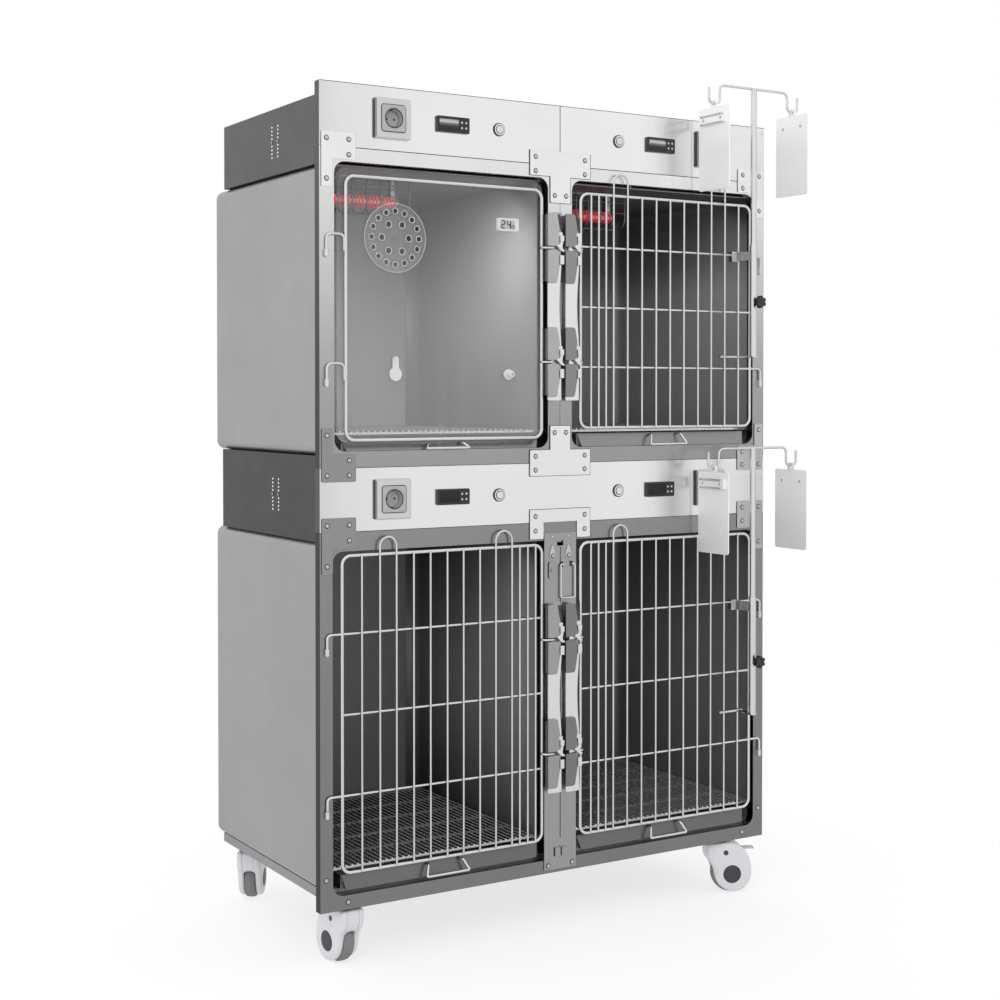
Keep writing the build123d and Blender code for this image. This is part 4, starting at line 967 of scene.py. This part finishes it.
def socket_earth_clips(mesh):
    """Three wires side by side, at the top and bottom of each well."""
    path = ((0.0045, 0.0188), (-0.0015, 0.0176), (-0.0070, 0.0168), (-0.0100, 0.0180))  # y, z
    for x, z in panel_spots(SOCKET_X):
        for end in (-1, 1):
            for shift in (-0.0012, 0.0, 0.0012):
                add_tube(mesh, [(x + shift, y, z + end * up) for y, up in path], 0.0008, 8)


def button_rings(mesh):
    for x, z in panel_spots(BUTTON_X):
        add_lathe(mesh, [(0.0128, 0.0002), (0.0128, 0.0026), (0.0138, 0.0030), (0.0150, 0.0022),
                         (0.0150, 0.0002), (0.0128, 0.0002)], (x, 0, z), FORWARD, 56)
        add_lathe(mesh, [(0.0086, 0.001), (0.0086, 0.0046), (0.0098, 0.0046), (0.0098, 0.001),
                         (0.0086, 0.001)], (x, 0, z), FORWARD, 48)


def controller_windows(mesh):
    for x, z in panel_spots(CONTROLLER_X):
        outline = rounded_rectangle(x - 0.0352, x + 0.0135, z - 0.0118, z + 0.0118, 0.0015)
        add_slab(mesh, outline, -0.0058, -0.0050, round_over=0.0004)


def controller_keys(mesh):
    """Two columns of two keys, right of the window."""
    for x, z in panel_spots(CONTROLLER_X):
        for column in (0, 1):
            for row in (-1, 1):
                add_lathe(mesh, [(0.0, 0.0009), (0.0018, 0.0008), (0.0026, 0.0003),
                                 (0.0027, -0.0004), (0.0, -0.0004)],
                          (x + 0.021 + 0.011 * column, -0.0067, z + 0.006 * row), FORWARD, 20)


piece("socket_inserts", socket_inserts, "socket_insert_grey")
piece("socket_wells", socket_wells, "socket_well_grey")
piece("socket_pin_holes", socket_pin_holes, "black_knob")
piece("socket_earth_clips", socket_earth_clips, "rivet_steel")
piece("button_shadow_rings", button_rings, "dark_cap_and_shade")
piece("controller_windows", controller_windows, "gloss_dark_window")
piece("controller_keys", controller_keys, "socket_grey")

# ------------------------------------------------------------------ door display
# Segments of a seven-segment figure as (x0, z0, x1, z1) in half heights
SEGMENTS = {"a": (0, 2, 1, 2), "b": (1, 1, 1, 2), "c": (1, 0, 1, 1), "d": (0, 0, 1, 0),
            "e": (0, 0, 0, 1), "f": (0, 1, 0, 2), "g": (0, 1, 1, 1)}
DIGITS = {"0": "abcdef", "2": "abged", "4": "fgbc", "5": "afgcd"}
LCD_LEFT, LCD_RIGHT, LCD_BOTTOM, LCD_TOP = -0.172, -0.118, 1.604, 1.633  # display case
DIGIT_FRONT = -0.0096


def add_digits(mesh, text, x, z, height, stroke):
    half = stroke / 2
    taper = stroke * 0.4
    for digit in text:
        for segment in DIGITS[digit]:
            x0, z0, x1, z1 = (v * height * 0.5 for v in SEGMENTS[segment])
            x0, z0, x1, z1 = x + x0, z + z0, x + x1, z + z1
            if SEGMENTS[segment][0] == SEGMENTS[segment][2]:
                outline = [(x0 - half, z0 + taper), (x0, z0), (x0 + half, z0 + taper),
                           (x1 + half, z1 - taper), (x1, z1), (x1 - half, z1 - taper)]
            else:
                outline = [(x0 + taper, z0 - half), (x1 - taper, z1 - half), (x1, z1),
                           (x1 - taper, z1 + half), (x0 + taper, z0 + half), (x0, z0)]
            add_slab(mesh, outline, DIGIT_FRONT, DIGIT_FRONT + 0.0003)
        x += height * 0.5 + stroke * 3.2


def door_lcd(mesh):
    outline = rounded_rectangle(LCD_LEFT + 0.005, LCD_RIGHT - 0.011,
                                LCD_BOTTOM + 0.004, LCD_TOP - 0.004, 0.0012)
    add_slab(mesh, outline, -0.0092, -0.0086, round_over=0.0002)


def door_lcd_digits(mesh):
    base = LCD_BOTTOM + 0.0065
    add_digits(mesh, "24", LCD_LEFT + 0.0085, base, height=0.0160, stroke=0.0024)
    add_digits(mesh, "50", LCD_LEFT + 0.0300, base, height=0.0075, stroke=0.0013)


piece("door_lcd", door_lcd, "lcd_face", "door_upper_left")
piece("door_lcd_digits", door_lcd_digits, "black_knob", "door_upper_left",
      smooth=False)


# ------------------------------------------------------------- infrared lamps
def lamp_coils(mesh):
    """Wire coils lying along X under the roof of each upper cell."""
    radius, length, turns, steps = 0.0128, 0.176, 20, 14
    count = turns * steps
    for middle in (-0.430, 0.170):
        points = []
        for i in range(count + 1):
            angle = 2 * math.pi * i / steps
            points.append((middle - length / 2 + length * i / count,
                           0.170 + radius * math.cos(angle), 1.6735 + radius * math.sin(angle)))
        add_tube(mesh, points, 0.0016, 7)


piece("lamp_coils", lamp_coils, "infrared_glow")

# -------------------------------------------------------------- clipboard clips
CLIP_X, CLIP_SPREAD, CLIP_Y = 0.516, 0.122, -0.072
CLIP_TOPS = {"upper": 1.9215, "lower": 1.0507}


def clip_spring(mesh, x, side, top):
    """Two rolled barrels across the clip."""
    for drop, radius in ((0.019, 0.0026), (0.038, 0.0020)):
        add_tube(mesh, [(x + side * 0.0076, CLIP_Y - 0.041 + 0.082 * k / 12, top - drop)
                        for k in range(13)], radius, 12)


def clip_rivets(mesh, x, side, top):
    for shift in (-0.032, 0.032):
        y, z = CLIP_Y + shift, top - 0.028
        add_lathe(mesh, [(0.0, 0.0015), (0.0022, 0.0013), (0.0034, 0.0006), (0.0036, 0.0),
                         (0.0, 0.0)], (x - side * 0.00125, y, z), (-side, 0, 0), 22)
        add_lathe(mesh, [(0.0, 0.0012), (0.0026, 0.0010), (0.0036, 0.0)],
                  (x + side * 0.0074, y, z), (side, 0, 0), 22)


for row, top in CLIP_TOPS.items():
    for side_name, side in (("left", -1), ("right", 1)):
        spot = row + "_" + side_name
        sizes = (CLIP_X + side * CLIP_SPREAD, side, top)
        piece("clip_spring_" + spot, clip_spring, "chrome_wire",
              "chart_board_" + spot, args=sizes)
        piece("clip_rivets_" + spot, clip_rivets, "rivet_steel",
              "chart_board_" + spot, args=sizes)

# ---------------------------------------------------------------- joint lines and painted shadow lines
FRAME_LINE_Y = -0.0001
PLATE_LINE_Y = -PLATE_DEPTH + 0.0001
# dark lines along the fascia edges: partly joints, partly painted shadow gaps
FRAME_JOINT_SHADOWS = ((1.7626, 0.0009), (0.9416, 0.0007), (1.0784, 0.0006))  # z, line radius
# (x, z) outlines of the three centre gusset plates; dark lines along them paint their contact
# shadow
GUSSET_OUTLINES = (
    [(-0.0835, 1.794), (-0.0835, 1.736), (-0.028, 1.736), (-0.028, 1.676), (0.028, 1.676),
     (0.028, 1.736), (0.0835, 1.736), (0.0835, 1.794)],
    [(-0.0835, 1.109), (-0.0835, 1.0487), (0.0835, 1.0487), (0.0835, 1.109), (0.028, 1.109),
     (0.028, 1.164), (-0.028, 1.164), (-0.028, 1.109), (-0.0835, 1.109)],
    [(-0.046, 0.904), (-0.0835, 0.904), (-0.0835, 0.9724), (0.0835, 0.9724), (0.0835, 0.904),
     (0.046, 0.904)])


def joint_and_shadow_lines(mesh):
    for start, end in ((-0.532, -0.084), (0.084, 0.526)):
        for z, radius in FRAME_JOINT_SHADOWS:
            add_seam(mesh, [(start, z), (end, z)], FRAME_LINE_Y, radius)
    add_seam(mesh, [(-0.609, 1.8996), (0.609, 1.8996)], FRAME_LINE_Y, 0.0007)
    add_seam(mesh, [(0, 1.795), (0, 1.899)], FRAME_LINE_Y, 0.0008)
    for outline in GUSSET_OUTLINES:
        add_seam(mesh, outline, PLATE_LINE_Y, 0.00065)


piece("joint_and_shadow_lines", joint_and_shadow_lines, "dark_cap_and_shade")
# the strip's matte grey is painted shade
piece("latch_gap_shade_strip", latch_gap_shade_strip, "latch_gap_shade_strip", smooth=False)

# ---------------------------------------------------------------- centre post
POST_FITTING_X = 0.022
POST_PLATE_Z = 0.865     # middle of the round part of the drop-shaped plates
POST_STUD_Z = POST_PLATE_Z - 0.001


def post_fittings(mesh):
    """A small rivet above a drop-shaped plate with a stud, at each side of the post."""
    for side in SIDES:
        x = side * POST_FITTING_X
        add_lathe(mesh, [(0.0, 0.0026), (0.0020, 0.0024), (0.0036, 0.0014), (0.0042, 0.0),
                         (0.0, 0.0)], (x, -PLATE_DEPTH, 0.908), FORWARD, 24)
        outline = []
        for k in range(28):
            angle = 2 * math.pi * k / 28
            peak = 0.015 * max(0.0, math.sin(angle)) ** 4
            outline.append((x + 0.009 * math.cos(angle),
                            POST_PLATE_Z + 0.009 * math.sin(angle) + peak))
        add_slab(mesh, outline, -0.0046, -0.0021, round_over=0.0016)
        add_lathe(mesh, [(0.0, 0.0042), (0.0022, 0.0040), (0.0040, 0.0028), (0.0046, 0.0012),
                         (0.0046, 0.0), (0.0, 0.0)], (x, -0.0046, POST_STUD_Z), FORWARD, 28)


def post_lines(mesh):
    add_seam(mesh, [(0, 0.884), (0, 0.210)], PLATE_LINE_Y, 0.0011)
    for side in SIDES:
        ring = circle(side * POST_FITTING_X, POST_STUD_Z, 0.0052, 24)
        add_seam(mesh, ring, -0.0047, 0.0006, closed=True)


def socket_lines(mesh):
    for x, z in panel_spots(SOCKET_X):
        add_seam(mesh, square_ring(x, z, 0.0292, 48), -0.0102, 0.0010, closed=True)
        add_seam(mesh, circle(x, z, 0.0206, 40), -0.0123, 0.0011, closed=True)


piece("post_fittings", post_fittings, "rivet_steel")
piece("post_lines", post_lines, "dark_cap_and_shade")
piece("socket_lines", socket_lines, "black_knob")

# ---------------------------------------------------------------- tray bails
TRAY_FRONTS = {  # left, right, bottom, top
    "upper_left": (-0.553, -0.055, 1.1146, 1.1322), "upper_right": (0.055, 0.553, 1.1146, 1.1455),
    "lower_left": (-0.556, -0.054, 0.1722, 0.2025), "lower_right": (0.054, 0.556, 0.1722, 0.2025)}


def tray_bail(mesh, left, right, bottom, top):
    """A bright wire loop in front of the tray handle, with rounded bends."""
    middle = (left + right) / 2
    high, low = top - 0.0035, bottom + 0.0036
    half_loop = [(0.040, 0.006, high), (0.044, -0.0025, high), (0.054, -0.016, low)]
    corners = [Vector((middle - x, y, z)) for x, y, z in half_loop]
    corners += [Vector((middle + x, y, z)) for x, y, z in half_loop[::-1]]
    points = [corners[0]]
    for before, corner, after in zip(corners, corners[1:], corners[2:]):
        start, end = (corner + (other - corner).normalized()
                      * min(0.004, (other - corner).length * 0.45) for other in (before, after))
        for k in range(6):
            t = k / 5
            points.append(start * (1 - t) ** 2 + corner * 2 * t * (1 - t) + end * t * t)
    points.append(corners[-1])
    add_tube(mesh, points, 0.0029, 14)


for spot, front in TRAY_FRONTS.items():
    piece("tray_bail_" + spot, tray_bail, "chrome_wire", "waste_tray_" + spot,
          args=front)

# ---------------------------------------------------------------- vents and hose barb
VENT_X, VENT_Y, VENT_Z = -0.430, -0.0030, 1.575


def vent_disc_rims(mesh):
    """Raised rims round two circles of holes, and round the disc itself."""
    # circle radius, number of holes, hole radius
    for radius, count, hole in ((0.058, 16, 0.007), (0.033, 6, 0.008)):
        profile = [(hole - 0.0014, -0.0002), (hole - 0.0014, 0.0004), (hole - 0.0009, 0.0007),
                   (hole - 0.0001, 0.0006), (hole + 0.0003, -0.0002), (hole - 0.0014, -0.0002)]
        for x, z in circle(VENT_X, VENT_Z, radius, count):
            add_lathe(mesh, profile, (x, VENT_Y, z), FORWARD, 24)
    add_lathe(mesh, [(0.0741, -0.0002), (0.0741, 0.0004), (0.0745, 0.0007), (0.0751, 0.0006),
                     (0.0753, -0.0002), (0.0741, -0.0002)], (VENT_X, VENT_Y, VENT_Z), FORWARD, 96)


def hose_barb_collar(mesh):
    add_lathe(mesh, [(0.0026, 0.0), (0.0115, 0.0), (0.0122, 0.0006), (0.0122, 0.0030),
                     (0.0112, 0.0040), (0.0072, 0.0046), (0.0064, 0.0060), (0.0064, 0.0120),
                     (0.0082, 0.0128), (0.0086, 0.0140), (0.0074, 0.0166), (0.0058, 0.0196),
                     (0.0052, 0.0202), (0.0026, 0.0202), (0.0026, 0.0)],
              (-0.143, -0.0031, 1.281), FORWARD, 40)


def vent_eyelets(mesh):
    """Two upright rows of eyelets on the sides of each electrics box."""
    for middle in (1.8012, 1.012):
        for y in (0.231, 0.263):
            for k in (-4, -3, -2, -1, 1, 2, 3, 4):
                for side in SIDES:
                    add_lathe(mesh, [(0.0, 0.0006), (0.0013, 0.0007), (0.0022, 0.0006),
                                     (0.0024, -0.0004), (0.0, -0.0004)],
                              (side * 0.602, y, middle + k * 0.0085), (side, 0, 0), 16)


piece("vent_disc_rims", vent_disc_rims, "moulded_rim", "vent_disc")
piece("hose_barb_collar", hose_barb_collar, "white_fitting", "door_upper_left")
piece("vent_eyelets", vent_eyelets, "bright_eyelet")

# --------------------------------------------------------------- base rails
BASE_HALF_WIDTH, BASE_FRONT, BASE_BACK = 0.590, 0.026, 0.592
BASE_BOTTOM, BASE_TOP = 0.1475, 0.1690
RAIL = 0.034
RAIL_GAP = 0.0002        # keeps touching rails from sharing a face


def add_box(mesh, x0, x1, y0, y1, z0, z1):
    corners = [mesh.verts.new((x, y, z)) for x in (x0, x1) for y in (y0, y1) for z in (z0, z1)]
    for face in ((0, 1, 3, 2), (4, 6, 7, 5), (0, 4, 5, 1), (2, 3, 7, 6), (0, 2, 6, 4),
                 (1, 5, 7, 3)):
        mesh.faces.new([corners[i] for i in face])


def base_rails(mesh):
    inner = RAIL + RAIL_GAP
    width, front, back = BASE_HALF_WIDTH, BASE_FRONT, BASE_BACK
    levels = (BASE_BOTTOM, BASE_TOP)
    add_box(mesh, -width, -width + RAIL, front, back, *levels)
    add_box(mesh, width - RAIL, width, front, back, *levels)
    add_box(mesh, -width + inner, width - inner, front, front + RAIL, *levels)
    add_box(mesh, -width + inner, width - inner, back - RAIL, back, *levels)
    for x in (-0.2, 0.2):
        add_box(mesh, x - RAIL / 2, x + RAIL / 2, front + inner, back - inner,
                BASE_BOTTOM, BASE_TOP - 0.001)
    # mounting plates over the casters
    for x, y, _ in CASTERS.values():
        y = min(max(y, front + RAIL), back - RAIL)
        add_box(mesh, x - 0.040, x + 0.040, y - RAIL, y + RAIL,
                BASE_BOTTOM - 0.0042, BASE_BOTTOM - RAIL_GAP)


def base_caster_sockets(mesh):
    for x, y, _ in CASTERS.values():
        add_lathe(mesh, [(0.0, 0.1252), (0.0245, 0.1252), (0.0262, 0.1262), (0.0262, 0.1290),
                         (0.0180, 0.1300), (0.0165, 0.1430), (0.0, 0.1430)],
                  (x, y, 0), (0, 0, 1), 40)


rails = piece("base_rails", base_rails, "base_rail", smooth=False, bevel=0.0016)
caster_sockets = piece("base_caster_sockets", base_caster_sockets, "dark_cap_and_shade")
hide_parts("base_frame")
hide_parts("base_frame")

# ------------------------------------------------------------- cell dividers
DIVIDER_X, DIVIDER_FRONT, DIVIDER_BACK = 0.0480, 0.0236, 0.6090
DIVIDER_BEND, DIVIDER_SHEET = 0.030, 0.0009
SHELL_REAR_RADIUS = 0.0220


def wall_outline(side):
    """Folded sheet in plan: a flat side wall that bends round into the back wall."""
    centre_x, centre_y = DIVIDER_X + DIVIDER_BEND, DIVIDER_BACK - DIVIDER_BEND
    inner = [(DIVIDER_X, DIVIDER_FRONT)]
    outer = [(DIVIDER_X - DIVIDER_SHEET, DIVIDER_FRONT)]
    for k in range(11):
        angle = math.pi - math.pi / 2 * k / 10
        for wall, radius in ((inner, DIVIDER_BEND), (outer, DIVIDER_BEND + DIVIDER_SHEET)):
            wall.append((centre_x + radius * math.cos(angle),
                         centre_y + radius * math.sin(angle)))
    return [(side * x, y) for x, y in inner + outer[::-1]]


def divider_walls(mesh):
    for bottom, top in CELL_HEIGHTS:
        for side in SIDES:
            outline = wall_outline(side)
            low, high = ([mesh.verts.new((x, y, z)) for x, y in outline] for z in (bottom, top))
            bridge(mesh, [low, high])
            mesh.faces.new(low[::-1])
            mesh.faces.new(high)
    # follow the rounded rear edges of the shells
    bend_start = DIVIDER_BACK - SHELL_REAR_RADIUS
    for v in mesh.verts:
        for bottom, top in CELL_HEIGHTS:
            if bottom - 0.001 < v.co.z < top + 0.001 and v.co.y > bend_start:
                drop = SHELL_REAR_RADIUS - math.sqrt(
                    max(0.0, SHELL_REAR_RADIUS ** 2 - (v.co.y - bend_start) ** 2))
                v.co.z = min(max(v.co.z, bottom + drop), top - drop)


dividers = piece("divider_walls", divider_walls, "satin_divider", smooth=False)
for polygon in dividers.data.polygons:
    polygon.use_smooth = abs(polygon.normal.z) < 0.5
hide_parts("cage_dividers")


# ----------------------------------------------------------------- stage
def floor_material():
    """Pale floor that takes soft shade near the cabinet and glows to white further out."""
    tree = new_material("pale_floor")
    clouds = tree.noise(scale=1.2, detail=3.0, roughness=0.5)
    diffuse = tree.add("ShaderNodeBsdfDiffuse", {
        "Color": tree.mix_colour(clouds, (0.93, 0.93, 0.93), (0.96, 0.96, 0.96))})
    glow = tree.add("ShaderNodeEmission", {"Color": grey(1), "Strength": 1.0})
    distance = tree.add("ShaderNodeVectorMath", {0: tree.coords.outputs["Object"]},
                        operation="LENGTH").outputs["Value"]
    tree.finish(tree.mix_shader(tree.remap(distance, (0.55, 1.5), (0.70, 1.0)), diffuse, glow))
    return MATERIALS["pale_floor"]


def stage_floor():
    mesh = bmesh.new()
    bmesh.ops.create_grid(mesh, x_segments=2, y_segments=2, size=14)
    data = bpy.data.meshes.new("floor")
    mesh.to_mesh(data)
    mesh.free()
    floor = bpy.data.objects.new("floor", data)
    scene.collection.objects.link(floor)
    data.materials.append(floor_material())
    floor.visible_glossy = False


def studio_world():
    """White to the camera; a soft grey gradient, darker to the right, for everything else."""
    world = bpy.data.worlds.new("studio")
    scene.world = world
    tree = Nodes(world, "ShaderNodeOutputWorld")
    direction = tree.add("ShaderNodeSeparateXYZ", {0: tree.coords.outputs["Generated"]}).outputs
    ramp = tree.add("ShaderNodeValToRGB", {
        0: tree.remap(direction[2], (-0.25, 1.0), (0.0, 1.0))})
    stops = ramp.color_ramp.elements
    stops[0].color, stops[1].color = grey(0.80), grey(1.0)
    for position, level in ((0.2, 0.93), (0.36, 0.97)):
        stops.new(position).color = grey(level)
    band = tree.remap(direction[0], (-0.2, 0.9), (1.0, 0.92))
    shade = tree.add("ShaderNodeMix", {0: 1.0, 6: ramp.outputs[0], 7: band},
                     data_type="RGBA", blend_type="MULTIPLY").outputs[2]
    lighting = tree.add("ShaderNodeBackground", {"Color": shade, "Strength": 0.95})
    backdrop = tree.add("ShaderNodeBackground", {"Color": grey(1), "Strength": 1.0})
    seen = tree.add("ShaderNodeLightPath").outputs["Is Camera Ray"]
    tree.finish(tree.mix_shader(seen, lighting, backdrop))


def area_light(name, location, target, size, power):
    data = bpy.data.lights.new(name, "AREA")
    data.shape = "RECTANGLE"
    data.size, data.size_y = size
    data.energy = power
    light = bpy.data.objects.new(name, data)
    scene.collection.objects.link(light)
    light.location = location
    light.rotation_mode = "QUATERNION"
    aim = Vector(target) - Vector(location)
    light.rotation_quaternion = aim.to_track_quat("-Z", "Y")
    light.visible_glossy = False


def studio_camera():
    data = bpy.data.cameras.new("camera")
    camera = bpy.data.objects.new("camera", data)
    scene.collection.objects.link(camera)
    data.sensor_width = 36.0
    data.sensor_fit = "HORIZONTAL"
    data.lens = 59.19
    data.shift_x = 0.0013
    data.shift_y = -0.0753
    camera.location = (-2.1004, -3.1648, 1.2322)
    camera.rotation_euler = (math.radians(90 - 0.996), 0.0, math.radians(-31.438))
    scene.camera = camera


stage_floor()
studio_world()
area_light("key", location=(-3.2, -3.4, 3.6), target=(0, 0.2, 1.0), size=(2.6, 2.6), power=70)
area_light("fill", location=(3.4, -3.0, 2.2), target=(0, 0.2, 1.0), size=(2.4, 3.0), power=25)
area_light("side", location=(-4.2, 0.8, 1.6), target=(-0.6, 0.3, 1.0), size=(2.5, 3.0), power=25)
area_light("rim", location=(1.5, 3.6, 3.2), target=(0, 0.3, 1.2), size=(3.0, 2.0), power=25)
CELL_LIGHTS = (  # name, x, z, power
    ("cell_ul", -0.34, 1.69, 1.7), ("cell_ur", 0.31, 1.69, 0.85),
    ("cell_ll", -0.31, 0.885, 0.34), ("cell_lr", 0.31, 0.885, 0.30))
for name, x, z, power in CELL_LIGHTS:
    area_light(name, location=(x, 0.07, z), target=(x, 0.36, z - 0.55), size=(0.44, 0.12),
               power=power)
studio_camera()
